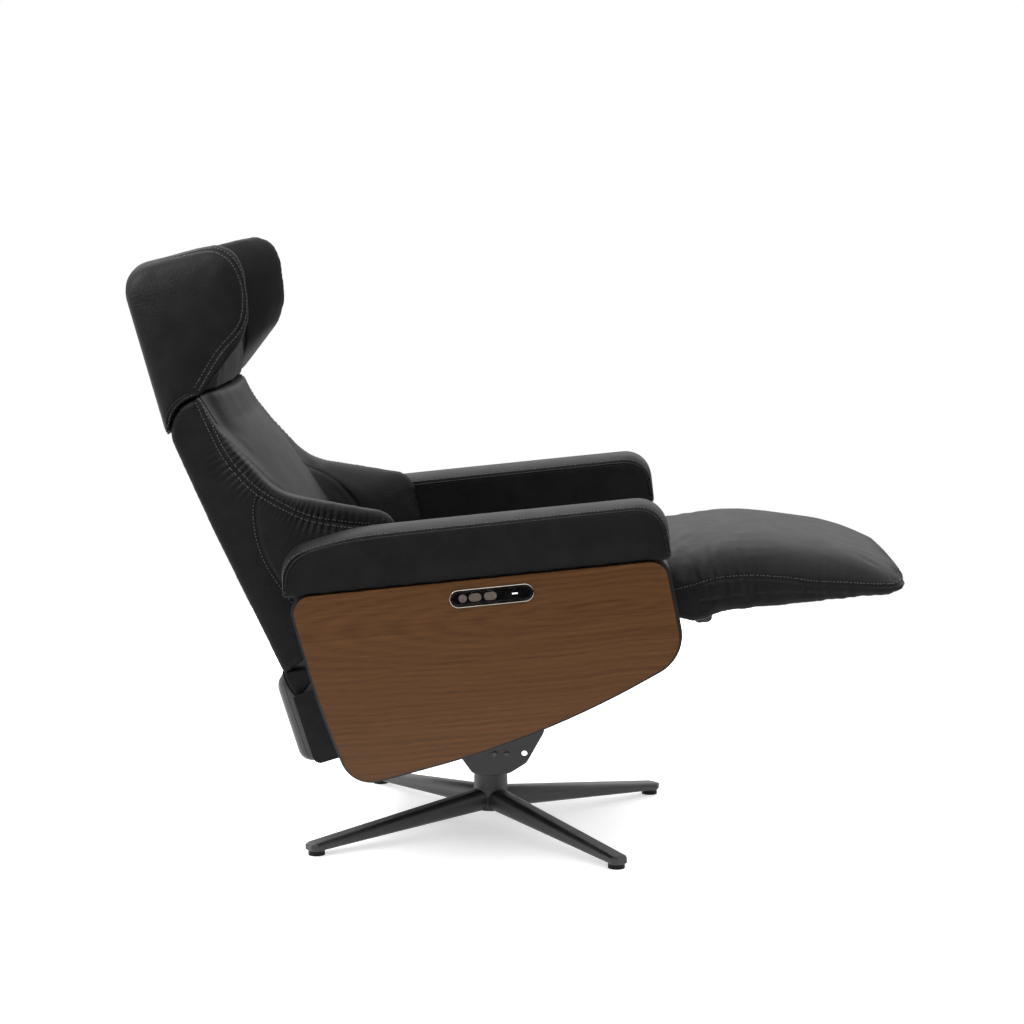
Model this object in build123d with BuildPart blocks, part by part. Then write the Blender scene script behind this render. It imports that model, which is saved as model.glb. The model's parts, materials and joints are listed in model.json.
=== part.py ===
from build123d import *
import os
from math import cos, radians, sin

os.makedirs("parts", exist_ok=True)

# Power recliner on a four-arm star base, with a walnut panel on each arm.
# Lengths are millimetres, angles are degrees. +X is forward, +Y the sitter's left, +Z up.
# The origin is on the floor, under the swivel axis. The chair is drawn half reclined, footrest out.

# Rest angles of the bodies, each from upright or level
seat_tilt = 6.0
back_lean = 23.9
head_lean = 15.3
foot_lift = 0.0
battery_lean = 11.4  # from the seat's upright

# Joint axes: the tilt axis above the floor, the others in the frame of the body that carries them
tilt_x = 15.0
tilt_z = 221.0
recline_x = -273.0
recline_z = 132.3
neck_x = -5.5
neck_z = 425.0
foot_x = 280.7
foot_z = 236.7
battery_x = -336.0
battery_z = 12.0

# Travel that the drives are laid out for, from the rest position
recline_forward = 14.0
recline_back = 25.0
foot_fold = 82.0

# Clearances
pin_gap = 0.05
soft_gap = 1.5
plate_gap = 1.0
button_gap = 0.35
neck_gap = 1.5

# Widths across the chair
chair_width = 796.0
arm_width = 111.0
panel_thick = 15.0
arm_pad_overhang = 9.0  # of the arm's pad, out over the side of its core
rail_thick = 23.0
hinge_plate = 6.0
bolster_width = 72.0
back_side_gap = 10.0  # between the back and each arm
head_overhang = 6.0  # of the headrest, past each side of the back

half_width = chair_width / 2
arm_inner = half_width - arm_width
core_outer = half_width - panel_thick
rail_inner = arm_inner - rail_thick
bracket_inner = rail_inner - hinge_plate
leaf_outer = bracket_inner - plate_gap
leaf_inner = leaf_outer - hinge_plate
seat_half = bracket_inner - soft_gap
foot_half = leaf_outer
back_half = arm_inner - back_side_gap
head_half = back_half + head_overhang
bolster_inner = back_half - bolster_width
neck_leaf = 5.0
neck_bracket_outer = leaf_inner + neck_leaf
head_leaf_outer = leaf_inner - plate_gap
head_leaf_inner = head_leaf_outer - neck_leaf


# A point of a tilted frame, as X and Z of the chair
def turned(pivot, angle, x, z):
    a = radians(angle)
    return (pivot[0] + x * cos(a) - z * sin(a), pivot[1] + x * sin(a) + z * cos(a))


tilt_pivot = (tilt_x, tilt_z)
recline_pivot = turned(tilt_pivot, seat_tilt, recline_x, recline_z)
foot_pivot = turned(tilt_pivot, seat_tilt, foot_x, foot_z)
neck_pivot = turned(recline_pivot, back_lean, neck_x, neck_z)
battery_centre = turned(tilt_pivot, seat_tilt, battery_x, battery_z)


# The upright plane at y of a frame: its sketches are drawn in the frame's own x and z, and grow to -Y
def side_plane(pivot, angle, y):
    a = radians(angle)
    return Plane(origin=(pivot[0], y, pivot[1]), x_dir=(cos(a), 0, sin(a)), z_dir=(0, -1, 0))


def chair(y):
    return side_plane((0, 0), 0, y)


def seat(y):
    return side_plane(tilt_pivot, seat_tilt, y)


def back(y):
    return side_plane(recline_pivot, back_lean, y)


def head(y):
    return side_plane(neck_pivot, head_lean, y)


def foot(y):
    return side_plane(foot_pivot, foot_lift, y)


def battery(y):
    return side_plane(battery_centre, seat_tilt + battery_lean, y)


# The plane where a slab from inner to outer begins, on the left (1) or the right (-1)
def start_y(side, inner, outer):
    return outer if side > 0 else -inner


# A closed outline of straight runs and round corners, as a face on its plane
def profile(plane, corners, radii):
    with BuildSketch(plane) as shape:
        with BuildLine():
            FilletPolyline(*corners, radius=radii, close=True)
        make_face()
    return shape.sketch


# A slab of the given outline, grown from its plane
def slab(plane, corners, radii, thick, mode=Mode.ADD):
    extrude(profile(plane, corners, radii), amount=thick, mode=mode)


def block(plane, x_low, x_high, z_low, z_high, thick, mode=Mode.ADD):
    corners = [(x_low, z_low), (x_high, z_low), (x_high, z_high), (x_low, z_high)]
    slab(plane, corners, 0, thick, mode)


# A round bar across the plane, with a bore where one is given
def bar(plane, x, z, radius, length, mode=Mode.ADD, bore=0):
    with BuildSketch(plane) as shape:
        with Locations((x, z)):
            Circle(radius)
            if bore:
                Circle(bore, mode=Mode.SUBTRACT)
    extrude(shape.sketch, amount=length, mode=mode)


# A padded body: side outlines at several y, drawn in by an inset, with a smooth skin through them
def crowned(frame, stations, shape, radii):
    loft([profile(frame(y), shape(inset), radii) for y, inset in stations])


def save(builder, name):
    builder.part.label = name
    export_step(builder.part, "parts/" + name + ".step")


sides = ((-1, "right"), (1, "left"))


# Base

star_arms = 4
star_turn = 36.7  # of the first arm, from +X
glide_circle = 354.0
glide_radius = 14.0
glide_height = 7.0
star_tip = 370.0
star_tip_width = 32.0
star_tip_height = 14.0
star_nose = 9.0
star_root_width = 40.0
star_root_height = 38.0
star_root_bottom = 26.0
hub_radius = 29.0
hub_bottom = 27.0
hub_top = 90.0
bush_wall = 3.0
post_radius = 15.0
washer_height = 2.0
flange_height = 7.0
flange_radius = 28.0
cap_height = 6.0

hub_bore = post_radius + pin_gap + bush_wall
post_bottom = hub_bottom + cap_height
flange_bottom = hub_top + washer_height
bracket_bottom = flange_bottom + flange_height
star_root = hub_radius - 8
star_tip_bottom = glide_height


def star_plane(turn, radius, z):
    a = radians(turn)
    return Plane(origin=(radius * cos(a), radius * sin(a), z), x_dir=(-sin(a), cos(a), 0),
                 z_dir=(cos(a), sin(a), 0))


with BuildPart() as star_base:
    with BuildSketch(Plane.XY.offset(hub_bottom)):
        Circle(hub_radius)
    extrude(amount=hub_top - hub_bottom)
    for k in range(star_arms):
        turn = star_turn + k * 360 / star_arms
        tip_z = star_tip_bottom + star_tip_height / 2
        with BuildSketch(star_plane(turn, star_root, star_root_bottom + star_root_height / 2)):
            RectangleRounded(star_root_width, star_root_height, star_root_height * 0.42)
        with BuildSketch(star_plane(turn, star_tip - star_nose, tip_z)):
            RectangleRounded(star_tip_width, star_tip_height, star_tip_height * 0.42)
        loft()
        with BuildSketch(star_plane(turn, star_tip - star_nose, tip_z)):
            RectangleRounded(star_tip_width, star_tip_height, star_tip_height * 0.42)
        with BuildSketch(star_plane(turn, star_tip, tip_z)):
            RectangleRounded(star_tip_width - 1.5 * star_nose, star_tip_height - star_nose * 0.5,
                             star_nose * 0.2)
        loft()
    with BuildSketch(Plane.XY.offset(glide_height)):
        with PolarLocations(glide_circle, star_arms, start_angle=star_turn):
            Circle(glide_radius)
    extrude(amount=star_tip_height / 2)
    with BuildSketch(Plane.XY.offset(hub_bottom)):
        Circle(hub_bore)
    extrude(amount=hub_top - hub_bottom, mode=Mode.SUBTRACT)
save(star_base, "star_base")

with BuildPart() as foot_glides:
    with BuildSketch(Plane.XY):
        with PolarLocations(glide_circle, star_arms, start_angle=star_turn):
            Circle(glide_radius)
    extrude(amount=glide_height)
save(foot_glides, "foot_glides")

with BuildPart() as hub_bush:
    with BuildSketch(Plane.XY.offset(post_bottom)):
        Circle(hub_bore)
        Circle(post_radius + pin_gap, mode=Mode.SUBTRACT)
    extrude(amount=hub_top - post_bottom)
save(hub_bush, "hub_bush")

with BuildPart() as hub_cap:
    with BuildSketch(Plane.XY.offset(hub_bottom)):
        Circle(hub_bore)
    extrude(amount=cap_height)
save(hub_cap, "hub_cap")


# Swivel

bracket_inner_y = 44.0
bracket_plate = 6.0
bracket_foot_rear = -30.0
bracket_foot_front = 33.0
bracket_top_radius = 26.0
tilt_pin_radius = 8.0
bolt_circle = 21.0
bolt_head_radius = 6.5
bolt_head_height = 5.0
jig_hole_radius = 5.0
jig_hole_x = 59.0
jig_hole_z = 134.0
jig_slot_drop = 12.5  # the left plate's slot sits lower than the right plate's round hole
jig_slot_length = 34.0
stop_bolt_radius = 4.0
stop_bolt_x = (8.0, 29.0)
stop_bolt_z = 133.0

bracket_outer_y = bracket_inner_y + bracket_plate
bracket_rear = tilt_x - bracket_top_radius
bracket_front = tilt_x + bracket_top_radius
bracket_outline = [
    (bracket_foot_rear, bracket_bottom), (bracket_foot_front, bracket_bottom),
    (bracket_foot_front + 30, bracket_bottom + 19), (bracket_front + 56, tilt_z - 42),
    (bracket_front + 6, tilt_z + bracket_top_radius), (bracket_rear - 6, tilt_z + bracket_top_radius),
    (bracket_rear - 62, tilt_z - 62)]
bracket_radii = [10, 14, 14, 20, 22, 22, 20]

with BuildPart() as swivel_post:
    with BuildSketch(Plane.XY.offset(post_bottom)):
        Circle(post_radius)
    extrude(amount=flange_bottom - post_bottom)
    with BuildSketch(Plane.XY.offset(flange_bottom)):
        Circle(flange_radius)
    extrude(amount=flange_height)
save(swivel_post, "swivel_post")

with BuildPart() as thrust_washer:
    with BuildSketch(Plane.XY.offset(hub_top)):
        Circle(flange_radius)
        Circle(post_radius, mode=Mode.SUBTRACT)
    extrude(amount=washer_height)
save(thrust_washer, "thrust_washer")

with BuildPart() as tilt_bracket:
    for side, name in sides:
        slab(chair(start_y(side, bracket_inner_y, bracket_outer_y)), bracket_outline, bracket_radii,
             bracket_plate)
    with BuildSketch(Plane.XY.offset(bracket_bottom)):
        with Locations(((bracket_foot_rear + bracket_foot_front) / 2, 0)):
            Rectangle(bracket_foot_front - bracket_foot_rear - 2 * bracket_plate, 2 * bracket_outer_y)
    extrude(amount=bracket_plate)
    bar(chair(bracket_outer_y), tilt_x, tilt_z, tilt_pin_radius, 2 * bracket_outer_y, Mode.SUBTRACT)
    bar(chair(-bracket_inner_y), jig_hole_x, jig_hole_z, jig_hole_radius, bracket_plate, Mode.SUBTRACT)
    with BuildSketch(chair(bracket_outer_y)):
        with Locations((jig_hole_x, jig_hole_z - jig_slot_drop)):
            SlotOverall(jig_slot_length, 3 * jig_hole_radius, rotation=60)
    extrude(amount=bracket_plate, mode=Mode.SUBTRACT)
save(tilt_bracket, "tilt_bracket")

with BuildPart() as bracket_bolts:
    with BuildSketch(Plane.XY.offset(bracket_bottom + bracket_plate)):
        with PolarLocations(bolt_circle, 4, start_angle=45):
            RegularPolygon(bolt_head_radius, 6)
    extrude(amount=bolt_head_height)
    for x in stop_bolt_x:
        bar(chair(-bracket_outer_y), x, stop_bolt_z, stop_bolt_radius, bolt_head_height)
save(bracket_bolts, "bracket_bolts")

with BuildPart() as tilt_pin:
    bar(chair(bracket_outer_y), tilt_x, tilt_z, tilt_pin_radius, 2 * bracket_outer_y)
save(tilt_pin, "tilt_pin")


# Seat frame. The deck is the sloping plane that the cushion lies on.

deck_rear_x = -190.0
deck_rear_z = 118.0
deck_front_x = 198.0
deck_front_z = 180.0
side_rail_rear = -228.0
side_rail_height = 65.0
cross_rail = 25.0
rear_rail_x = -215.0
front_rail_x = 140.0
beam_rear = -30.0
beam_front = 20.0
beam_bottom = 78.0
beam_height = 26.0
lug_inner = 36.0
lug_thick = 6.0
lug_radius = 18.0
web_thick = 3.0
web_width = 50.0
web_straps = 6
web_reach = 235.0  # of the outer edge of the last strap
beam_top = beam_bottom + beam_height


def deck(x):
    return deck_rear_z + (x - deck_rear_x) * (deck_front_z - deck_rear_z) / (deck_front_x - deck_rear_x)


rail_outline = [
    (side_rail_rear, deck(side_rail_rear) - side_rail_height),
    (deck_front_x, deck(deck_front_x) - side_rail_height),
    (deck_front_x, deck_front_z), (side_rail_rear, deck(side_rail_rear))]

with BuildPart() as seat_side_rails:
    for side, name in sides:
        slab(seat(start_y(side, rail_inner, arm_inner)), rail_outline, 0, rail_thick)
save(seat_side_rails, "seat_side_rails")

with BuildPart() as seat_cross_rails:
    for x in (rear_rail_x, front_rail_x):
        corners = [(x, deck(x) - cross_rail), (x + cross_rail, deck(x) - cross_rail),
                   (x + cross_rail, deck(x + cross_rail)), (x, deck(x))]
        slab(seat(bracket_inner), corners, 0, 2 * bracket_inner)
    block(seat(rail_inner), beam_rear, beam_front, beam_bottom, beam_top, 2 * rail_inner)
    for side, name in sides:
        plane = seat(start_y(side, lug_inner, lug_inner + lug_thick))
        corners = [(-lug_radius, 0), (lug_radius, 0), (beam_front, beam_bottom), (beam_rear, beam_bottom)]
        slab(plane, corners, 0, lug_thick)
        bar(plane, 0, 0, lug_radius, lug_thick)
        bar(plane, 0, 0, tilt_pin_radius + pin_gap, lug_thick, Mode.SUBTRACT)
save(seat_cross_rails, "seat_cross_rails")

web_rear = rear_rail_x
web_front = front_rail_x + cross_rail
web_pitch = (2 * web_reach - web_width) / (web_straps - 1)

with BuildPart() as seat_webbing:
    corners = [(web_rear, deck(web_rear)), (web_front, deck(web_front)),
               (web_front, deck(web_front) + web_thick), (web_rear, deck(web_rear) + web_thick)]
    for k in range(web_straps):
        slab(seat(web_reach - k * web_pitch), corners, 0, web_width)
save(seat_webbing, "seat_webbing")


# Seat cushion, with a nose that reaches over the folded footrest

seat_rear_x = -185.0
seat_rear_top = 210.0
seat_front_top = 264.0
seat_lip_x = 198.0
seat_lip_z = 204.0
seat_nose_x = 253.0
seat_nose_z = 240.0
seat_edge_drop = 24.0
seat_nose_back = 5.0  # of the nose's top edge, from the nose
seat_crown_back = 150.0  # of the cushion's highest line, from its lip
seat_crown = 18.0


def seat_outline(inset):
    return [(seat_rear_x, deck(seat_rear_x) + web_thick), (seat_lip_x, deck(seat_lip_x) + web_thick),
            (seat_lip_x, seat_lip_z), (seat_nose_x - inset * 0.4, seat_nose_z - inset * 0.15),
            (seat_nose_x - seat_nose_back - inset, seat_front_top - inset * 0.6),
            (seat_lip_x - seat_crown_back, (seat_rear_top + seat_front_top) / 2 + seat_crown - inset),
            (seat_rear_x + inset * 0.4, seat_rear_top - inset)]


seat_radii = [5, 5, 12, 6, 14, 700, 26]

with BuildPart() as seat_cushion:
    crowned(seat, [(-seat_half, seat_edge_drop), (-seat_half + 22, seat_edge_drop * 0.35),
                   (-seat_half * 0.55, seat_edge_drop * 0.08), (0, 0),
                   (seat_half * 0.55, seat_edge_drop * 0.08), (seat_half - 22, seat_edge_drop * 0.35),
                   (seat_half, seat_edge_drop)], seat_outline, seat_radii)
save(seat_cushion, "seat_cushion")


# Arms: a box core, a walnut panel on its outer side and a padded top

panel_top = 272.0
panel_corners = [(-226, -37), (84, 16), (311, 118), (296, panel_top), (-294, panel_top), (-264, 94)]
panel_radii = [45, 1450, 62, 28, 28, 1200]
core_margin = 6.0
core_wall = 16.0
core_back = 12.0
arm_pad_rear = -304.0
arm_pad_front = 308.0
arm_pad_height = 93.0
arm_pad_slope_x = -185.0
arm_pad_drop = 24.0
arm_edge_drop = 13.0
bolt_points = ((-200, 30), (-215, 215), (215, 215), (200, 92))
panel_bolt_radius = 4.0
panel_bolt_head = 7.0
panel_bolt_head_height = 5.0

control_x = 22.5
control_z = 245.0
control_length = 133.0
control_height = 29.0
bezel_wall = 6.0
bezel_proud = 2.5
bezel_lip = 2.0
bezel_depth = 12.0

arm_pad_top = panel_top + arm_pad_height
arm_pad_outer = core_outer + arm_pad_overhang


def arm_outline(inset):
    return [(arm_pad_rear, panel_top), (arm_pad_rear + inset * 0.7, arm_pad_top - arm_pad_drop - inset * 0.5),
            (arm_pad_slope_x, arm_pad_top - inset), (arm_pad_front - inset * 0.7, arm_pad_top - inset),
            (arm_pad_front, panel_top)]


arm_radii = [3, 42, 420, 46, 3]


def control_pill(plane, length, height, thick, mode=Mode.ADD):
    with BuildSketch(plane) as shape:
        with Locations((control_x, control_z)):
            SlotOverall(length, height)
    extrude(shape.sketch, amount=thick, mode=mode)


pocket_inner = arm_inner + core_back

for side, name in sides:
    with BuildPart() as arm_core:
        with BuildSketch(seat(start_y(side, arm_inner, core_outer))):
            with BuildLine():
                FilletPolyline(*panel_corners, radius=panel_radii, close=True)
            make_face()
            offset(amount=core_margin, kind=Kind.ARC)
        extrude(amount=core_outer - arm_inner)
        block(seat(start_y(side, arm_inner, core_outer)), 2 * arm_pad_rear, 2 * arm_pad_front, panel_top,
              panel_top + arm_pad_height, core_outer - arm_inner, Mode.SUBTRACT)
        with BuildSketch(seat(start_y(side, pocket_inner, core_outer))):
            with BuildLine():
                FilletPolyline(*panel_corners, radius=panel_radii, close=True)
            make_face()
            offset(amount=-core_wall, kind=Kind.ARC)
        extrude(amount=core_outer - pocket_inner, mode=Mode.SUBTRACT)
        for x, z in bolt_points:
            bar(seat(start_y(side, arm_inner, pocket_inner)), x, z, panel_bolt_radius, core_back,
                Mode.SUBTRACT)
    save(arm_core, name + "_arm_core")

    with BuildPart() as side_panel:
        slab(seat(start_y(side, core_outer, half_width)), panel_corners, panel_radii, panel_thick)
        if side < 0:
            control_pill(seat(-core_outer), control_length - 2 * bezel_lip, control_height - 2 * bezel_lip,
                         panel_thick, Mode.SUBTRACT)
    save(side_panel, name + "_side_panel")

    span = arm_pad_outer - arm_inner
    stations = [(side * (arm_inner + span * share), arm_edge_drop * drop)
                for share, drop in ((0, 1), (0.12, 0.36), (0.5, 0), (0.88, 0.32), (1, 0.9))]
    with BuildPart() as arm_pad:
        crowned(seat, stations, arm_outline, arm_radii)
    save(arm_pad, name + "_arm_pad")

with BuildPart() as panel_bolts:
    for side, name in sides:
        for x, z in bolt_points:
            bar(seat(start_y(side, arm_inner, arm_inner + core_back)), x, z, panel_bolt_radius, core_back)
            bar(seat(start_y(side, arm_inner - panel_bolt_head_height, arm_inner)), x, z, panel_bolt_head,
                panel_bolt_head_height)
save(panel_bolts, "panel_bolts")


# Keypad in the right panel: a bright bezel, a dark fascia, three buttons, a window and a board

fascia_inset = 1.0  # of the fascia's face, below the panel's
fascia_thick = 4.0
fascia_rim = 1.5  # the wall between the fascia and its board
button_radius = 6.4
button_centres = {"home_button": -45.5, "back_button": -26.0, "foot_button": -2.0}
button_lengths = {"home_button": 0.0, "back_button": 7.0, "foot_button": 7.0}
button_proud = 0.6
button_travel = 1.2
lens_centre = 36.5
lens_length = 9.0
lens_height = 2.2
board_thick = 1.6

fascia_length = control_length - 2 * bezel_wall
fascia_height = control_height - 2 * bezel_wall
button_radius_limit = fascia_height / 2 - 1.2
button_size = min(button_radius, button_radius_limit)
fascia_face = half_width - fascia_inset
fascia_back = fascia_face - fascia_thick
board_face = fascia_back - button_travel - 0.6


def key_shape(plane, name, gap, thick, mode=Mode.ADD):
    with BuildSketch(plane) as shape:
        with Locations((control_x + button_centres[name], control_z)):
            if button_lengths[name]:
                SlotCenterToCenter(button_lengths[name], 2 * (button_size + gap))
            else:
                Circle(button_size + gap)
    extrude(shape.sketch, amount=thick, mode=mode)


def lens_shape(plane, thick, mode=Mode.ADD):
    with BuildSketch(plane) as shape:
        with Locations((control_x + lens_centre, control_z)):
            Rectangle(lens_length, lens_height)
    extrude(shape.sketch, amount=thick, mode=mode)


with BuildPart() as control_bezel:
    control_pill(seat(-half_width + bezel_depth), control_length - 2 * bezel_lip,
                 control_height - 2 * bezel_lip, bezel_depth)
    control_pill(seat(-half_width), control_length, control_height, bezel_proud)
    front_edges = control_bezel.edges().group_by(Axis.Y)[0]
    fillet(front_edges, bezel_proud * 0.7)
    control_pill(seat(-half_width + bezel_depth), fascia_length, fascia_height, bezel_depth + bezel_proud,
                 Mode.SUBTRACT)
save(control_bezel, "control_bezel")

with BuildPart() as control_fascia:
    control_pill(seat(-fascia_back), fascia_length, fascia_height, fascia_thick)
    for name in button_centres:
        key_shape(seat(-fascia_back), name, button_gap, fascia_thick, Mode.SUBTRACT)
    lens_shape(seat(-fascia_back), fascia_thick, Mode.SUBTRACT)
    control_pill(seat(-board_face), fascia_length, fascia_height, fascia_back - board_face)
    control_pill(seat(-board_face), fascia_length - 2 * fascia_rim, fascia_height - 2 * fascia_rim,
                 fascia_back - board_face, Mode.SUBTRACT)
save(control_fascia, "control_fascia")

with BuildPart() as indicator_lens:
    lens_shape(seat(-fascia_back), fascia_thick)
save(indicator_lens, "indicator_lens")

with BuildPart() as control_board:
    control_pill(seat(-board_face + board_thick), fascia_length, fascia_height, board_thick)
save(control_board, "control_board")

for name in button_centres:
    with BuildPart() as button:
        key_shape(seat(-fascia_back), name, 0, fascia_thick + button_proud)
    save(button, name)


# Drives. Each rod has an upright slot round the pin that it pushes.

drive_y = 110.0  # of the back's drive, the footrest's is in the middle
rod_radius = 9.0
rod_gap = 0.5
tube_wall = 4.5
eye_half = 6.0
eye_wall = 6.0
drive_pin = 6.0
cheek_gap = 4.0
cheek_thick = 6.0
gear_width = 48.0
gear_length = 70.0
gear_height = 42.0
motor_radius = 19.0
motor_length = 92.0
rod_overlap = 24.0  # of a rod left in its tube at full reach

tube_bore = rod_radius + rod_gap
tube_radius = tube_bore + tube_wall

# Back drive: its lever pin hangs under the recline axis
lever_length = 80.0
lever_angle = -75.0  # of the lever at half travel, in the seat's frame
lever_rest = lever_angle + (recline_forward - recline_back) / 2
lever_x = [recline_x + lever_length * cos(radians(lever_rest + turn))
           for turn in (-recline_forward, 0, recline_back)]
lever_z = [recline_z + lever_length * sin(radians(lever_rest + turn))
           for turn in (-recline_forward, 0, recline_back)]
lever_low = recline_z - lever_length
lever_high = max(lever_z)
back_rod_z = (lever_low + lever_high) / 2
back_slot = lever_high - lever_low + 2 * drive_pin + 4
back_stroke = lever_x[2] - lever_x[0]
lever_play = 1.6
back_tube_rear = rear_rail_x + cross_rail
back_tube_front = back_tube_rear + back_stroke + 3 * rod_overlap
back_rod_front = back_tube_rear + (lever_x[1] - lever_x[0]) + rod_overlap

# Footrest drive: its pin is on a lug under the footrest
foot_lever = 126.0
foot_lever_mid = -90.0
foot_lever_rest = foot_lever_mid + foot_fold / 2
foot_pin_x = foot_x + foot_lever * cos(radians(foot_lever_rest))
foot_pin_z = foot_z + foot_lever * sin(radians(foot_lever_rest))
foot_pin_folded = foot_x - (foot_pin_x - foot_x)
foot_stroke = foot_pin_x - foot_pin_folded
foot_rod_z = (foot_pin_z + foot_z - foot_lever) / 2
foot_slot = foot_pin_z - (foot_z - foot_lever) + 2 * drive_pin + 4
foot_play = 3.6
foot_tube_front = front_rail_x + cross_rail
foot_tube_rear = beam_rear
foot_rod_rear = foot_tube_front - rod_overlap


# The plane square to the seat's x axis, at x: sketches are drawn in -y and z, and grow forward
def seat_section(x):
    a = radians(seat_tilt)
    start = turned(tilt_pivot, seat_tilt, x, 0)
    return Plane(origin=(start[0], 0, start[1]), x_dir=(0, 1, 0), z_dir=(cos(a), 0, sin(a)))


def slotted_eye(x, z, y, slot_height, slot_half):
    half_x = slot_half + eye_wall
    half_z = slot_height / 2 + eye_wall
    with BuildSketch(seat(y + eye_half)) as shape:
        with Locations((x, z)):
            RectangleRounded(2 * half_x, 2 * half_z, half_x * 0.6)
            SlotOverall(slot_height, 2 * slot_half, rotation=90, mode=Mode.SUBTRACT)
    extrude(shape.sketch, amount=2 * eye_half)


back_slot_half = drive_pin + lever_play
foot_slot_half = drive_pin + foot_play

with BuildPart() as back_rod:
    slotted_eye(lever_x[1], back_rod_z, drive_y, back_slot, back_slot_half)
    eye_front = lever_x[1] + back_slot_half + eye_wall / 2
    bar(seat_section(eye_front), drive_y, back_rod_z, rod_radius, back_rod_front - eye_front)
save(back_rod, "back_rod")

with BuildPart() as back_drive_tube:
    bar(seat_section(back_tube_rear), drive_y, back_rod_z, tube_radius, back_tube_front - back_tube_rear,
        bore=tube_bore)
save(back_drive_tube, "back_drive_tube")

with BuildPart() as back_drive_motor:
    block(seat(drive_y + gear_width / 2), back_tube_front, beam_front, beam_bottom - gear_height, beam_bottom,
          gear_width)
    bar(seat_section(beam_front), drive_y, beam_bottom - gear_height / 2, motor_radius, motor_length)
save(back_drive_motor, "back_drive_motor")

with BuildPart() as foot_rod:
    slotted_eye(foot_pin_x, foot_rod_z, 0, foot_slot, foot_slot_half)
    eye_rear = foot_pin_x - foot_slot_half - eye_wall / 2
    bar(seat_section(foot_rod_rear), 0, foot_rod_z, rod_radius, eye_rear - foot_rod_rear)
save(foot_rod, "foot_rod")

with BuildPart() as foot_drive_tube:
    bar(seat_section(foot_tube_rear), 0, foot_rod_z, tube_radius, foot_tube_front - foot_tube_rear,
        bore=tube_bore)
save(foot_drive_tube, "foot_drive_tube")

gear_top = beam_bottom + gear_height

with BuildPart() as foot_drive_motor:
    block(seat(gear_width / 2), foot_tube_rear - gear_length, foot_tube_rear, beam_bottom, gear_top,
          gear_width)
    bar(seat(-gear_width / 2), foot_tube_rear - gear_length / 2, gear_top - gear_height / 2, motor_radius,
        motor_length)
save(foot_drive_motor, "foot_drive_motor")


# Hinges of the back and the footrest, on the inner faces of the side rails

hinge_radius = 17.0
hinge_pin = 6.0
pin_head = 3.0

recline_plate = [
    (recline_x - hinge_radius * 0.5, recline_z - hinge_radius), (side_rail_rear, deck(side_rail_rear) - 55),
    (side_rail_rear + 70, deck(side_rail_rear) - 55), (side_rail_rear + 70, deck(side_rail_rear) - 12),
    (recline_x + hinge_radius * 0.6, recline_z + hinge_radius * 0.7)]
foot_plate = [
    (deck_front_x - 90, deck(deck_front_x - 90) - 50), (deck_front_x, deck_front_z - 50),
    (foot_x + hinge_radius * 0.9, foot_z - hinge_radius * 0.3), (foot_x, foot_z + hinge_radius * 0.8),
    (deck_front_x - 90, deck(deck_front_x - 90) - 6)]


def pair_of_plates(corners, x, z):
    for side, name in sides:
        plane = seat(start_y(side, bracket_inner, rail_inner))
        slab(plane, corners, 0, hinge_plate)
        bar(plane, x, z, hinge_radius, hinge_plate)
        bar(plane, x, z, hinge_pin, hinge_plate, Mode.SUBTRACT)


def pair_of_pins(x, z):
    for side, name in sides:
        bar(seat(start_y(side, leaf_inner, rail_inner)), x, z, hinge_pin, rail_inner - leaf_inner)
        bar(seat(start_y(side, leaf_inner - pin_head, leaf_inner)), x, z, hinge_pin * 1.5, pin_head)


with BuildPart() as hinge_brackets:
    pair_of_plates(recline_plate, recline_x, recline_z)
    pair_of_plates(foot_plate, foot_x, foot_z)
save(hinge_brackets, "hinge_brackets")

with BuildPart() as hinge_pins:
    pair_of_pins(recline_x, recline_z)
    pair_of_pins(foot_x, foot_z)
save(hinge_pins, "hinge_pins")


# Battery pack behind the seat, on a black apron that closes the rear between the arms

battery_thick = 54.0
battery_height = 162.0
battery_half = 62.0
battery_corner = 26.0
battery_edge = 9.0
battery_wall = 3.0
battery_seam = 15.0  # from the rear face
pad_thick = 6.0  # the pad on the apron that the battery is fixed to
pad_half = 37.0
pad_up = 49.0  # from the battery's lower end
pad_down = 32.0  # from its top
apron_thick = 8.0
apron_low = -40.0
apron_high = 78.0
apron_reach = 62.0
apron_wall = 8.0
socket_radius = 6.0
socket_bore = 2.8
socket_depth = 12.0
socket_up = 53.0  # from the battery's lower end
battery_button_up = 33.0
battery_button_radius = 5.0

battery_rear = -battery_thick / 2
battery_low = -battery_height / 2
socket_z = battery_low + socket_up
battery_button_z = battery_low + battery_button_up
pad_low = battery_low + pad_up
pad_high = battery_height / 2 - pad_down
battery_front = battery_thick / 2
battery_split = battery_rear + battery_seam
apron_rear = battery_front + pad_thick


def battery_box(inset):
    x_low = battery_rear + inset
    x_high = battery_front - inset
    z_high = battery_height / 2 - inset
    return [(x_low, -z_high), (x_high, -z_high), (x_high, z_high), (x_low, z_high)]


def battery_shell():
    slab(battery(battery_half), battery_box(0), battery_corner, 2 * battery_half)
    side_edges = edges().group_by(Axis.Y)
    fillet(side_edges[0] + side_edges[-1], battery_edge)
    slab(battery(battery_half - battery_wall), battery_box(battery_wall), battery_corner - battery_wall,
         2 * (battery_half - battery_wall), Mode.SUBTRACT)


def battery_opening(x, z, radius, depth, mode):
    a = radians(seat_tilt + battery_lean)
    start = turned(battery_centre, seat_tilt + battery_lean, x, z)
    plane = Plane(origin=(start[0], 0, start[1]), x_dir=(0, 1, 0), z_dir=(cos(a), 0, sin(a)))
    bar(plane, 0, 0, radius, depth, mode)


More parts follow.
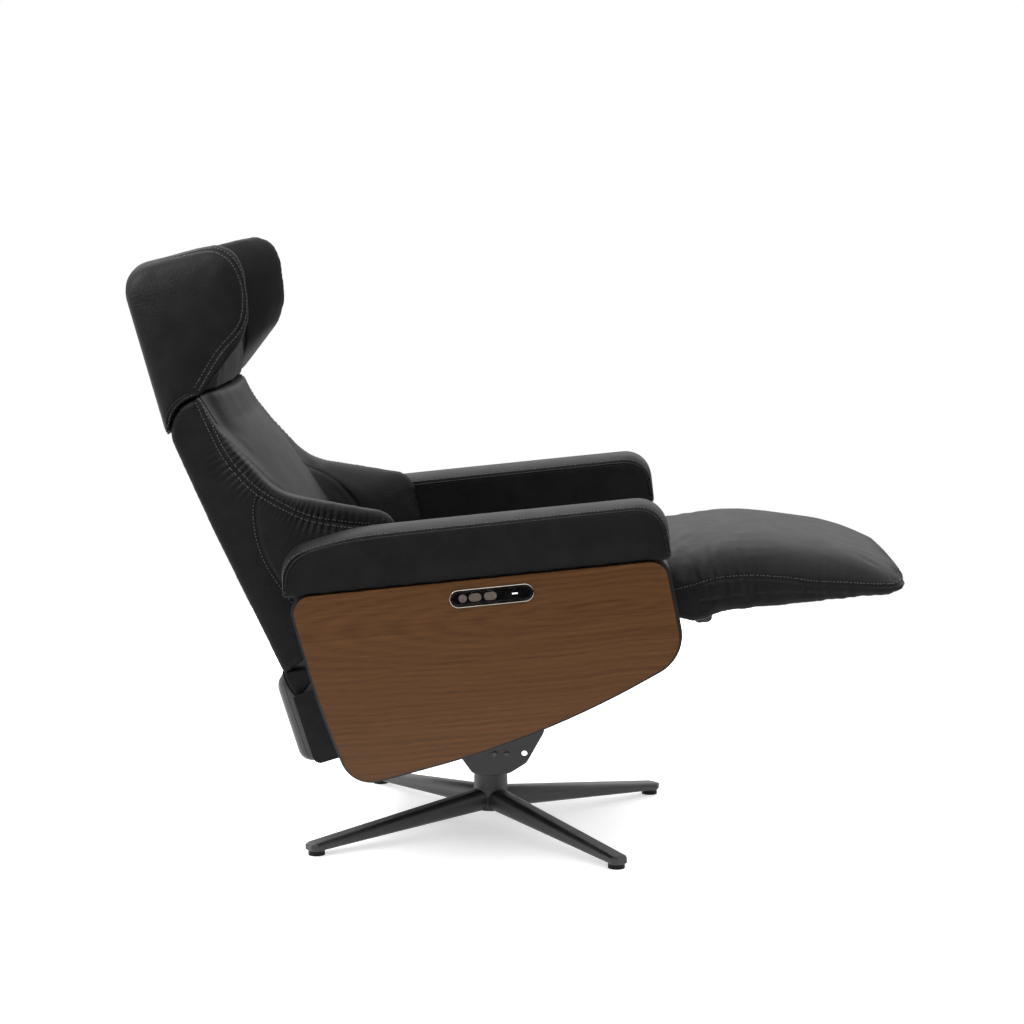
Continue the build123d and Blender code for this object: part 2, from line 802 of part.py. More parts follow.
with BuildPart() as battery_rear_case:
    battery_shell()
    block(battery(battery_half), battery_split, battery_front + 1, -battery_height, battery_height,
          2 * battery_half, Mode.SUBTRACT)
    battery_opening(battery_rear, socket_z, socket_radius, battery_wall, Mode.SUBTRACT)
    battery_opening(battery_rear, battery_button_z, battery_button_radius + button_gap, battery_wall,
                    Mode.SUBTRACT)
save(battery_rear_case, "battery_rear_case")

with BuildPart() as battery_front_case:
    battery_shell()
    block(battery(battery_half), battery_rear - 1, battery_split, -battery_height, battery_height,
          2 * battery_half, Mode.SUBTRACT)
save(battery_front_case, "battery_front_case")

cell_rear = battery_split + 3
cell_height = battery_height / 2 - battery_corner

with BuildPart() as battery_cells:
    cell_width = battery_half - battery_edge - battery_wall
    for low, high in ((-cell_width, -1), (1, cell_width)):
        block(battery(high), cell_rear, battery_front - battery_wall, -cell_height, cell_height, high - low)
save(battery_cells, "battery_cells")

with BuildPart() as charge_socket:
    battery_opening(battery_rear, socket_z, socket_radius, socket_depth, Mode.ADD)
    battery_opening(battery_rear, socket_z, socket_bore, socket_depth - 3, Mode.SUBTRACT)
save(charge_socket, "charge_socket")

with BuildPart() as battery_button:
    battery_opening(battery_rear - 0.8, battery_button_z, battery_button_radius, battery_wall + 1.6, Mode.ADD)
save(battery_button, "battery_button")

with BuildPart() as rear_apron:
    corners = [(apron_rear, apron_low), (apron_rear + apron_reach, apron_low),
               (apron_rear + apron_reach, apron_high), (apron_rear, apron_high)]
    slab(battery(arm_inner), corners, [12, 0, 0, 4], 2 * arm_inner)
    block(battery(arm_inner - apron_wall), apron_rear + apron_thick, apron_rear + apron_reach + 1,
          apron_low - 1, apron_high + 1, 2 * (arm_inner - apron_wall), Mode.SUBTRACT)
    block(battery(pad_half), battery_front, apron_rear, pad_low, pad_high, 2 * pad_half)
save(rear_apron, "rear_apron")


# Backrest: a plywood board, its drive lever, a padded rear cover, a middle cushion and two side bolsters

back_rear = -63.0
cover_thick = 15.0
board_thick_back = 14.0
back_low = 14.0
cushion_low = 22.0
flange_front = -17.0
neck_radius = 57.5
board_neck_z = 395.0
board_top_z = 458.0
back_crown = 16.0
bolster_low = 28.0
lumbar = 88.0
lumbar_z = 110.0
shoulder = 56.0
shoulder_z = 305.0
neck_face = 36.0

board_rear = back_rear + cover_thick
board_front = board_rear + board_thick_back
back_high = neck_z + neck_radius + 4  # the padding is cut to the neck's round from here


# What lies under the neck's round top: everything below its axis, and the round itself
def neck_trim():
    with BuildSketch(back(back_half)) as shape:
        with Locations((neck_x, 0)):
            Rectangle(4 * neck_z, 2 * neck_z)
        with Locations((neck_x, neck_z)):
            Circle(neck_radius)
    extrude(shape.sketch, amount=2 * back_half, mode=Mode.INTERSECT)


with BuildPart() as back_cover:
    block(back(back_half), back_rear, flange_front, back_low, neck_z + neck_radius, 2 * back_half)
    block(back(bracket_inner + 0.5), board_rear, flange_front + 1, back_low - 1, neck_z + 2 * neck_radius,
          2 * (bracket_inner + 0.5), Mode.SUBTRACT)
    neck_trim()
save(back_cover, "back_cover")

board_side = [(-leaf_inner, back_low), (leaf_inner, back_low), (leaf_inner, board_neck_z),
              (head_leaf_inner - plate_gap, board_neck_z), (head_leaf_inner - plate_gap, board_top_z),
              (-head_leaf_inner + plate_gap, board_top_z), (-head_leaf_inner + plate_gap, board_neck_z),
              (-leaf_inner, board_neck_z)]


# The plane of a body's face at x, drawn in y and z, grown forward
def face_plane(pivot, angle, x):
    a = radians(angle)
    start = turned(pivot, angle, x, 0)
    return Plane(origin=(start[0], 0, start[1]), x_dir=(0, 1, 0), z_dir=(cos(a), 0, sin(a)))


with BuildPart() as back_board:
    slab(face_plane(recline_pivot, back_lean, board_rear), board_side, 0, board_thick_back)
save(back_board, "back_board")

leaf_top = 130.0
leaf_step = -20.0
leaf_outline = [(board_rear, back_low), (leaf_step, back_low), (leaf_step, leaf_top), (board_rear, leaf_top)]

with BuildPart() as recline_leaves:
    for side, name in sides:
        plane = back(start_y(side, leaf_inner, leaf_outer))
        slab(plane, leaf_outline, 0, hinge_plate)
        corners = [(board_rear, back_low), (-hinge_radius * 0.7, -hinge_radius * 0.7),
                   (hinge_radius * 0.6, hinge_radius * 0.8), (leaf_step, back_low + 10),
                   (board_rear, back_low + 10)]
        slab(plane, corners, 0, hinge_plate)
        bar(plane, 0, 0, hinge_radius, hinge_plate)
        bar(plane, 0, 0, hinge_pin + pin_gap, hinge_plate, Mode.SUBTRACT)
save(recline_leaves, "recline_leaves")

# The lever's pin, in the back's own frame
lever_swing = radians(lever_rest + seat_tilt - back_lean)
pin_x = lever_length * cos(lever_swing)
pin_z = lever_length * sin(lever_swing)
cheek_inner = eye_half + cheek_gap
cheek_outer = cheek_inner + cheek_thick
lever_foot = 6.0
lever_boss = drive_pin + 6

with BuildPart() as back_lever:
    block(back(drive_y + cheek_outer), board_rear, board_front, back_low - lever_foot, back_low,
          2 * cheek_outer)
    for y in (drive_y + cheek_outer, drive_y - cheek_inner):
        corners = [(board_rear, back_low - lever_foot), (board_rear, back_low - lever_foot - 14),
                   (pin_x - lever_boss, pin_z), (pin_x + lever_boss, pin_z),
                   (board_front, back_low - lever_foot)]
        slab(back(y), corners, 0, cheek_thick)
        bar(back(y), pin_x, pin_z, lever_boss, cheek_thick)
    bar(back(drive_y + cheek_outer), pin_x, pin_z, drive_pin, 2 * cheek_outer)
save(back_lever, "back_lever")


def back_outline(inset):
    return [(board_front, cushion_low), (lumbar - 14 - inset, cushion_low + 2), (lumbar - inset, lumbar_z),
            (shoulder - inset * 0.8, shoulder_z), (neck_face - inset * 0.5, neck_z - 10),
            (neck_face, back_high), (board_front, back_high)]


back_radii = [3, 16, 160, 500, 90, 3, 3]
middle_half = bolster_inner - 1

with BuildPart() as back_cushion:
    crowned(back, [(-middle_half, back_crown), (-middle_half * 0.6, back_crown * 0.3), (0, 0),
                   (middle_half * 0.6, back_crown * 0.3), (middle_half, back_crown)],
            back_outline, back_radii)
    neck_trim()
save(back_cushion, "back_cushion")

bolster_reach = 221.0
bolster_top = 183.0
bolster_foot = 46.0  # where the underside begins to rise to the tip
bolster_tip_z = 93.0
bolster_shoulder = 57.0
bolster_shoulder_z = 288.0
bolster_neck = 20.0
bolster_drop = 98.0  # of the inner edge, from the bolster's front line
bolster_round = 15.0


def bolster_outline(inset):
    return [(flange_front, bolster_low), (bolster_foot, bolster_low + 16),
            (bolster_reach - 21 - inset, bolster_tip_z), (bolster_reach - inset, bolster_top + inset * 0.15),
            (bolster_shoulder - inset * 0.1, bolster_shoulder_z), (bolster_neck, neck_z - 20),
            (bolster_neck - 8, back_high), (flange_front, back_high)]


bolster_radii = [3, 24, 20, 28, 100, 200, 3, 3]
slot_inner = head_leaf_inner - 2 * plate_gap
slot_outer = neck_bracket_outer + 2 * plate_gap
slot_low = board_neck_z - 45

for side, name in sides:
    with BuildPart() as bolster:
        stations = [(side * (bolster_inner + bolster_width * share), drop)
                    for share, drop in ((0, bolster_drop), (0.36, 44), (0.76, 3), (1, bolster_round))]
        crowned(back, stations, bolster_outline, bolster_radii)
        neck_trim()
        block(back(start_y(side, slot_inner, slot_outer)), -200, 200, slot_low, neck_z + 2 * neck_radius,
              slot_outer - slot_inner, Mode.SUBTRACT)
    save(bolster, name + "_bolster")

neck_boss = 14.0
neck_pin = 5.0

with BuildPart() as neck_brackets:
    for side, name in sides:
        plane = back(start_y(side, leaf_inner, neck_bracket_outer))
        corners = [(board_rear, board_neck_z - 75), (board_front, board_neck_z - 75),
                   (neck_x + neck_boss * 0.9, neck_z - neck_boss * 0.4),
                   (neck_x - 4, neck_z + neck_boss * 0.8), (board_rear, board_neck_z - 8)]
        slab(plane, corners, 0, neck_leaf)
        bar(plane, neck_x, neck_z, neck_boss, neck_leaf)
        bar(plane, neck_x, neck_z, neck_pin, neck_leaf, Mode.SUBTRACT)
save(neck_brackets, "neck_brackets")

with BuildPart() as neck_pins:
    for side, name in sides:
        bar(back(start_y(side, head_leaf_inner, neck_bracket_outer)), neck_x, neck_z, neck_pin,
            neck_bracket_outer - head_leaf_inner)
save(neck_pins, "neck_pins")


# Headrest: a plate on the neck hinges, a rear cover, a middle cushion and two wings

head_rear = -66.0
head_top = 285.0
head_cover_thick = 16.0
head_corner = 26.0
head_plate_thick = 12.0
head_plate_low = 72.0
head_plate_high = 268.0
head_low = 12.0
head_face = 44.0
wing_lap = 3.0  # of each wing, in past the bolster under it
wing_reach = 127.0
wing_low = 138.0
wing_drop = 82.0  # of the inner edge, from the wing's front line
wing_round = 15.0
head_crown = 14.0
head_root_z = 45.0  # of the padding, where it meets the plate
head_chin = 24.0
head_chin_z = 51.0
head_cheek_z = 90.0
head_brow = 44.0
head_brow_back = 26.0
wing_chin = 6.0
wing_rake = 6.0
wing_brow = 24.0
wing_brow_back = 44.0
wing_bend = 34.0  # of the wing's front line, a third of the way out
wing_edge = 2.0  # of the front line, near the outer side

plate_rear = head_rear + head_cover_thick
plate_front = plate_rear + head_plate_thick
head_cushion_half = bolster_inner - wing_lap
socket_radius_neck = neck_radius + neck_gap


def neck_cut():
    bar(head(head_half + 1), 0, 0, socket_radius_neck, 2 * head_half + 2, Mode.SUBTRACT)


with BuildPart() as head_cover:
    corners = [(head_rear, head_low), (plate_front, head_low), (plate_front, head_top), (head_rear, head_top)]
    slab(head(head_half), corners, [4, 0, 0, head_corner], 2 * head_half)
    pocket_half = slot_outer
    block(head(pocket_half), plate_rear, plate_front + 1, head_low - 1, head_plate_high + 1, 2 * pocket_half,
          Mode.SUBTRACT)
    neck_cut()
save(head_cover, "head_cover")

with BuildPart() as head_plate:
    block(head(head_leaf_inner), plate_rear, plate_front, head_plate_low, head_plate_high,
          2 * head_leaf_inner)
save(head_plate, "head_plate")

with BuildPart() as head_leaves:
    for side, name in sides:
        plane = head(start_y(side, head_leaf_inner, head_leaf_outer))
        corners = [(plate_rear, head_plate_low + 40), (plate_rear, head_plate_low - 10),
                   (-neck_boss * 0.8, -neck_boss * 0.4), (neck_boss * 0.7, neck_boss * 0.6),
                   (plate_front, head_plate_low + 40)]
        slab(plane, corners, 0, neck_leaf)
        bar(plane, 0, 0, neck_boss, neck_leaf)
        bar(plane, 0, 0, neck_pin + pin_gap, neck_leaf, Mode.SUBTRACT)
save(head_leaves, "head_leaves")


def head_outline(inset):
    return [(plate_front, head_root_z), (head_face - head_chin - inset, head_chin_z),
            (head_face - inset, head_cheek_z), (head_face - inset, head_top - head_brow),
            (head_face - head_brow_back - inset, head_top - inset * 0.5),
            (plate_front, head_top - inset * 0.5)]


head_radii = [2, 10, 24, 30, 18, 2]

with BuildPart() as head_cushion:
    crowned(head, [(-head_cushion_half, head_crown), (-head_cushion_half * 0.55, head_crown * 0.3), (0, 0),
                   (head_cushion_half * 0.55, head_crown * 0.3), (head_cushion_half, head_crown)],
            head_outline, head_radii)
    neck_cut()
save(head_cushion, "head_cushion")


def wing_outline(inset):
    return [(plate_front, head_root_z), (wing_chin, head_chin_z),
            (wing_reach - wing_rake - inset, wing_low - inset * 0.3),
            (wing_reach - inset, head_top - wing_brow - inset * 0.1),
            (wing_reach - wing_brow_back - inset * 0.7, head_top), (plate_front, head_top)]


wing_radii = [2, 10, 34, 22, 30, 2]
wing_inner = head_cushion_half + 1

for side, name in sides:
    with BuildPart() as wing:
        wing_span = head_half - wing_inner
        crowned(head, [(side * wing_inner, wing_drop), (side * (wing_inner + wing_span * 0.36), wing_bend),
                       (side * (wing_inner + wing_span * 0.76), wing_edge), (side * head_half, wing_round)],
                wing_outline, wing_radii)
        neck_cut()
        block(head(start_y(side, slot_inner, slot_outer)), plate_front - 1, 2 * neck_boss, -100,
              head_plate_low + 48, slot_outer - slot_inner, Mode.SUBTRACT)
    save(wing, name + "_head_wing")


# Footrest: a board on two hinge leaves, a crowned cushion and the lug that its drive pushes

foot_length = 408.0
foot_root = 2.0
foot_board_root = 30.0
foot_board_margin = 36.0  # from the board's end to the tip
foot_board_thick = 14.0
foot_board_low = -79.0  # of its underside, carried back to the hinge axis
foot_board_slope = 0.113
foot_top = 44.0
foot_crown = 243.0  # from the highest place to the tip
foot_fall = 78.0  # where the top begins to fall to the tip
foot_fall_z = 18.0
foot_tip_round = 6.0
foot_tip_low = -24.0
foot_tip_high = -8.0
foot_root_high = 20.0
foot_edge_drop = 22.0
foot_notch = 70.0
foot_bed = 0.3  # between the board and the cushion on it
notch_inner = leaf_inner - pin_head - soft_gap
foot_board_end = foot_length - foot_board_margin
foot_crown_x = foot_length - foot_crown
foot_fall_x = foot_length - foot_fall

# The lug's pin, in the footrest's own frame, and the window over it that the drive's eye swings in
lug_swing = radians(foot_lever_rest + seat_tilt - foot_lift)
lug_pin_x = foot_lever * cos(lug_swing)
lug_pin_z = foot_lever * sin(lug_swing)
lug_boss = drive_pin + 4
lug_foot = 26.0
window_reach = 46.0
window_depth = 20.0
window_half = eye_half + 2
window_rear = lug_pin_x - window_reach
window_front = lug_pin_x + window_reach


def board_under(x):
    return foot_board_low + foot_board_slope * x


def board_over(x):
    return board_under(x) + foot_board_thick


def foot_outline(inset):
    return [(foot_board_root, board_over(foot_board_root) + foot_bed),
            (foot_board_end, board_over(foot_board_end) + foot_bed),
            (foot_length - foot_tip_round - inset * 0.3, foot_tip_low),
            (foot_length - inset * 0.3, foot_tip_high),
            (foot_fall_x - inset * 0.5, foot_fall_z - inset * 0.7), (foot_crown_x, foot_top - inset),
            (foot_root, foot_root_high - inset * 0.7), (foot_root, -foot_root_high)]


foot_radii = [4, 6, foot_tip_round, 8, 240, 330, 12, 16]

with BuildPart() as footrest_cushion:
    crowned(foot, [(-foot_half, foot_edge_drop), (-foot_half + 26, foot_edge_drop * 0.4),
                   (-foot_half * 0.5, foot_edge_drop * 0.1), (0, 0), (foot_half * 0.5, foot_edge_drop * 0.1),
                   (foot_half - 26, foot_edge_drop * 0.4), (foot_half, foot_edge_drop)],
            foot_outline, foot_radii)
    for side, name in sides:
        block(foot(start_y(side, notch_inner, foot_half + 1)), -foot_notch, foot_notch, -2 * foot_notch,
              2 * foot_notch, foot_half + 1 - notch_inner, Mode.SUBTRACT)
    block(foot(window_half), window_rear, window_front, board_over(window_rear) - 1,
          board_over(window_front) + window_depth, 2 * window_half, Mode.SUBTRACT)
save(footrest_cushion, "footrest_cushion")

with BuildPart() as footrest_board:
    corners = [(foot_board_root, board_under(foot_board_root)), (foot_board_end, board_under(foot_board_end)),
               (foot_board_end, board_over(foot_board_end)), (foot_board_root, board_over(foot_board_root))]
    slab(foot(leaf_inner), corners, 0, 2 * leaf_inner)
    block(foot(window_half), window_rear, window_front, board_under(window_rear) - 1,
          board_over(window_front) + 1, 2 * window_half, Mode.SUBTRACT)
save(footrest_board, "footrest_board")

with BuildPart() as footrest_leaves:
    for side, name in sides:
        plane = foot(start_y(side, leaf_inner, leaf_outer))
        corners = [(-hinge_radius * 0.9, -6), (foot_board_root, board_under(foot_board_root)),
                   (foot_notch - 6, board_under(foot_notch - 6)),
                   (foot_notch - 6, board_over(foot_notch - 6)),
                   (foot_board_root + 8, board_over(foot_board_root) + 6), (hinge_radius * 0.95, 4)]
        slab(plane, corners, 0, hinge_plate)
        bar(plane, 0, 0, hinge_radius, hinge_plate)
        bar(plane, 0, 0, hinge_pin + pin_gap, hinge_plate, Mode.SUBTRACT)
save(footrest_leaves, "footrest_leaves")

with BuildPart() as footrest_lug:
    for y in (cheek_outer, -cheek_inner):
        corners = [(lug_pin_x - lug_foot, board_under(lug_pin_x - lug_foot)),
                   (lug_pin_x - lug_boss, lug_pin_z), (lug_pin_x + lug_boss, lug_pin_z),
                   (lug_pin_x + lug_foot, board_under(lug_pin_x + lug_foot))]
        slab(foot(y), corners, 0, cheek_thick)
        bar(foot(y), lug_pin_x, lug_pin_z, lug_boss, cheek_thick)
    bar(foot(cheek_outer), lug_pin_x, lug_pin_z, drive_pin, 2 * cheek_outer)
save(footrest_lug, "footrest_lug")
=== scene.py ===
import bpy
import bmesh
import json
import math
import numpy as np
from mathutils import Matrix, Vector, noise
from mathutils.bvhtree import BVHTree


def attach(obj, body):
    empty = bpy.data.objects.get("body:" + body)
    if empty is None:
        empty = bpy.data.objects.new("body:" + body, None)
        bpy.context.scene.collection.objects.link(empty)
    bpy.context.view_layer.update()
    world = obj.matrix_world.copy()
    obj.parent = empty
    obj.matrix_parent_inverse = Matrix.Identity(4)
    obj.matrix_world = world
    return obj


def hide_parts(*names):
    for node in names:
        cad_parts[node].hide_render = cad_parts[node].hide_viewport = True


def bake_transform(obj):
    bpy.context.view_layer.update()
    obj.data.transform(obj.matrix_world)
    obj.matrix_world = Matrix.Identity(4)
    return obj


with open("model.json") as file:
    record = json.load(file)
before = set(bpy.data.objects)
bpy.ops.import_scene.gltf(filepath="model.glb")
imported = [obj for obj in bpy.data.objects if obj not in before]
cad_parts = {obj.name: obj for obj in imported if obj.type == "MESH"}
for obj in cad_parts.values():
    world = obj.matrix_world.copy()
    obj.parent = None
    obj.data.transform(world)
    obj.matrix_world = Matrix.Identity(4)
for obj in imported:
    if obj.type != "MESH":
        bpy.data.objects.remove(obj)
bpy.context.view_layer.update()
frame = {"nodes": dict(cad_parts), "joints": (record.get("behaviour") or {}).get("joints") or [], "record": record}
nodes = frame["nodes"]
joints = {joint["name"]: joint for joint in frame["joints"]}
scene = bpy.context.scene
scene.view_settings.view_transform = "Standard"
sides, sideNames = (-1, 1), ("right", "left")  # as the sitter has them
print("frame loaded:", len(nodes), "nodes")

# each body's own frame: its hinge, and how far it leans at rest
bodyFrame = {
    "seat": (joints["tilt"]["pos_m"], 6.0),
    "backrest": (joints["recline"]["pos_m"], 23.9),
    "headrest": (joints["headrest"]["pos_m"], 15.3),
    "footrest": (joints["footrest"]["pos_m"], 0.0),
}


def place(body, x, y, z):  # millimetres in a body's frame to metres in the chair's
    hinge, lean = bodyFrame[body]
    c, s = math.cos(math.radians(lean)), math.sin(math.radians(lean))
    return Vector((hinge[0] + (x * c - z * s) / 1000, y / 1000, hinge[2] + (x * s + z * c) / 1000))


def unplace(body, points):  # metres in the chair's frame to millimetres in a body's
    hinge, lean = bodyFrame[body]
    c, s = math.cos(math.radians(lean)), math.sin(math.radians(lean))
    dx, dz = points[:, 0] - hinge[0], points[:, 2] - hinge[2]
    return np.stack([dx * c + dz * s, points[:, 1], dz * c - dx * s], axis=1) * 1000


def linear(code):  # sRGB hex to linear colour
    parts = [int(code[k:k + 2], 16) / 255 for k in (1, 3, 5)]
    return tuple(p / 12.92 if p <= 0.04045 else ((p + 0.055) / 1.055) ** 2.4 for p in parts) + (1.0,)


def perMetre(millimetres):  # a pattern's repeat as a texture scale
    return 1000 / millimetres


def addNode(tree, kind, settings=None, links=None):
    node = tree.nodes.new("ShaderNode" + kind)
    for name, value in (settings or {}).items():
        if hasattr(node, name):
            setattr(node, name, value)
        else:
            node.inputs[name].default_value = value
    for name, source in (links or {}).items():
        tree.links.new(source, node.inputs[name])
    return node


def setRamp(node, stops):  # colour stops of a ramp, as (place, hex)
    ramp = node.color_ramp
    while len(ramp.elements) < len(stops):
        ramp.elements.new(0.5)
    for element, (position, code) in zip(ramp.elements, stops):
        element.position = position
        element.color = linear(code)


def newMaterial(name, finish):
    material = bpy.data.materials.new(name)
    material.use_nodes = True
    tree = material.node_tree
    shader = tree.nodes["Principled BSDF"]
    for socket, value in finish.items():
        shader.inputs[socket].default_value = value
    coords = addNode(tree, "TexCoord").outputs["Object"]
    return material, tree, shader, coords


def mapFrom(low, high, toLow, toHigh):  # settings that carry one range over to another
    return {"From Min": low, "From Max": high, "To Min": toLow, "To Max": toHigh}


def relief(pair):  # settings of a bump, as its strength and its depth in metres
    return {"Strength": pair[0], "Distance": pair[1]}


# cow hide, drum dyed and pressed with a pebble grain: near black, with a soft broken sheen
leatherLook = {"pebble": 3.2, "pore": 0.9, "mottle": 38.0, "dark": "#0b0b0c", "light": "#111112",
               "shadesAt": (0.3, 0.72), "polish": (0.47, 0.54), "poreRelief": (0.12, 0.0003),
               "pebbleRelief": (0.45, 0.0008), "finish": {"IOR": 1.5, "Specular IOR Level": 0.13}}


def makeLeather(name, look):
    material, tree, shader, coords = newMaterial(name, look["finish"])
    pebbles = addNode(tree, "TexVoronoi", {"feature": "SMOOTH_F1", "Scale": perMetre(look["pebble"]),
                                           "Smoothness": 0.7}, {"Vector": coords})
    pores = addNode(tree, "TexNoise", {"Scale": perMetre(look["pore"]), "Detail": 2.0}, {"Vector": coords})
    mottle = addNode(tree, "TexNoise", {"Scale": perMetre(look["mottle"]), "Detail": 5.0, "Roughness": 0.62},
                     {"Vector": coords})
    colour = addNode(tree, "ValToRGB", {}, {"Fac": mottle.outputs[0]})
    setRamp(colour, list(zip(look["shadesAt"], (look["dark"], look["light"]))))
    tree.links.new(colour.outputs["Color"], shader.inputs["Base Color"])
    polish = addNode(tree, "MapRange", mapFrom(0.3, 0.7, *look["polish"]), {"Value": mottle.outputs[0]})
    tree.links.new(polish.outputs["Result"], shader.inputs["Roughness"])
    fine = addNode(tree, "Bump", relief(look["poreRelief"]), {"Height": pores.outputs[0]})
    grain = addNode(tree, "Bump", dict(relief(look["pebbleRelief"]), invert=True),
                    {"Height": pebbles.outputs["Distance"], "Normal": fine.outputs["Normal"]})
    tree.links.new(grain.outputs["Normal"], shader.inputs["Normal"])
    return material


# American walnut veneer, flat cut and sealed with satin lacquer: long grain, arched figure towards the front
walnutLook = {"lean": 6.0, "archFront": (0.20, 0.462), "ring": 9.0, "stretch": 7.5, "pore": 0.8, "streak": 4.5,
              "wander": (0.05, 0.0, 0.02), "wanderScale": 5.0, "streakRun": 3.5, "poreRun": 55.0, "figure": 0.09,
              "dark": "#351f0c", "middle": "#4a2e13", "light": "#58371a", "shadesAt": (0.06, 0.52, 1.0),
              "poreShade": (0.8, 1.0), "polish": (0.38, 0.52), "poreRelief": (0.05, 0.0003),
              "finish": {"IOR": 1.5, "Specular IOR Level": 0.2, "Coat Weight": 0.05, "Coat Roughness": 0.35}}


def makeWalnut(name, look):
    material, tree, shader, coords = newMaterial(name, look["finish"])
    archX, archZ = look["archFront"]
    turned = addNode(tree, "Mapping", {"vector_type": "TEXTURE", "Location": (archX, 0, archZ),
                                       "Rotation": (0, -math.radians(look["lean"]), 0)}, {"Vector": coords})
    warp = addNode(tree, "TexNoise", {"Scale": look["wanderScale"], "Detail": 3.0},
                   {"Vector": turned.outputs["Vector"]})
    shift = addNode(tree, "VectorMath", {"operation": "MULTIPLY_ADD"},
                    {0: warp.outputs["Color"], 2: turned.outputs["Vector"]})
    shift.inputs[1].default_value = look["wander"]
    squeezed = addNode(tree, "VectorMath", {"operation": "MULTIPLY"}, {0: shift.outputs["Vector"]})
    squeezed.inputs[1].default_value = (1 / look["stretch"], 0.0, 1.0)
    arch = addNode(tree, "VectorMath", {"operation": "LENGTH"}, {0: squeezed.outputs["Vector"]})
    ring = addNode(tree, "Math", {"operation": "MULTIPLY"}, {0: arch.outputs["Value"]})
    ring.inputs[1].default_value = 2 * math.pi * perMetre(look["ring"])
    wave = addNode(tree, "Math", {"operation": "SINE"}, {0: ring.outputs["Value"]})
    streak = addNode(tree, "VectorMath", {"operation": "MULTIPLY"}, {0: shift.outputs["Vector"]})
    streak.inputs[1].default_value = (look["streakRun"], 1.0, perMetre(look["streak"]))
    bands = addNode(tree, "TexNoise", {"Scale": 1.0, "Detail": 6.0, "Roughness": 0.62},
                    {"Vector": streak.outputs["Vector"]})
    figure = addNode(tree, "Math", {"operation": "MULTIPLY_ADD"}, {0: wave.outputs["Value"], 2: bands.outputs[0]})
    figure.inputs[1].default_value = look["figure"]
    colour = addNode(tree, "ValToRGB", {}, {"Fac": figure.outputs["Value"]})
    setRamp(colour, list(zip(look["shadesAt"], (look["dark"], look["middle"], look["light"]))))
    pores = addNode(tree, "VectorMath", {"operation": "MULTIPLY"}, {0: turned.outputs["Vector"]})
    pores.inputs[1].default_value = (look["poreRun"], 1.0, perMetre(look["pore"]))
    fleck = addNode(tree, "TexNoise", {"Scale": 1.0, "Detail": 2.0}, {"Vector": pores.outputs["Vector"]})
    depth = addNode(tree, "MapRange", mapFrom(0.35, 0.6, *look["poreShade"]), {"Value": fleck.outputs[0]})
    shade = addNode(tree, "Mix", {"data_type": "RGBA", "blend_type": "MULTIPLY"},
                    {6: colour.outputs["Color"], 7: depth.outputs["Result"]})
    shade.inputs[0].default_value = 1.0
    tree.links.new(shade.outputs[2], shader.inputs["Base Color"])
    satin = addNode(tree, "MapRange", mapFrom(0.3, 0.7, *look["polish"]), {"Value": bands.outputs[0]})
    tree.links.new(satin.outputs["Result"], shader.inputs["Roughness"])
    bump = addNode(tree, "Bump", relief(look["poreRelief"]), {"Height": fleck.outputs[0]})
    tree.links.new(bump.outputs["Normal"], shader.inputs["Normal"])
    return material


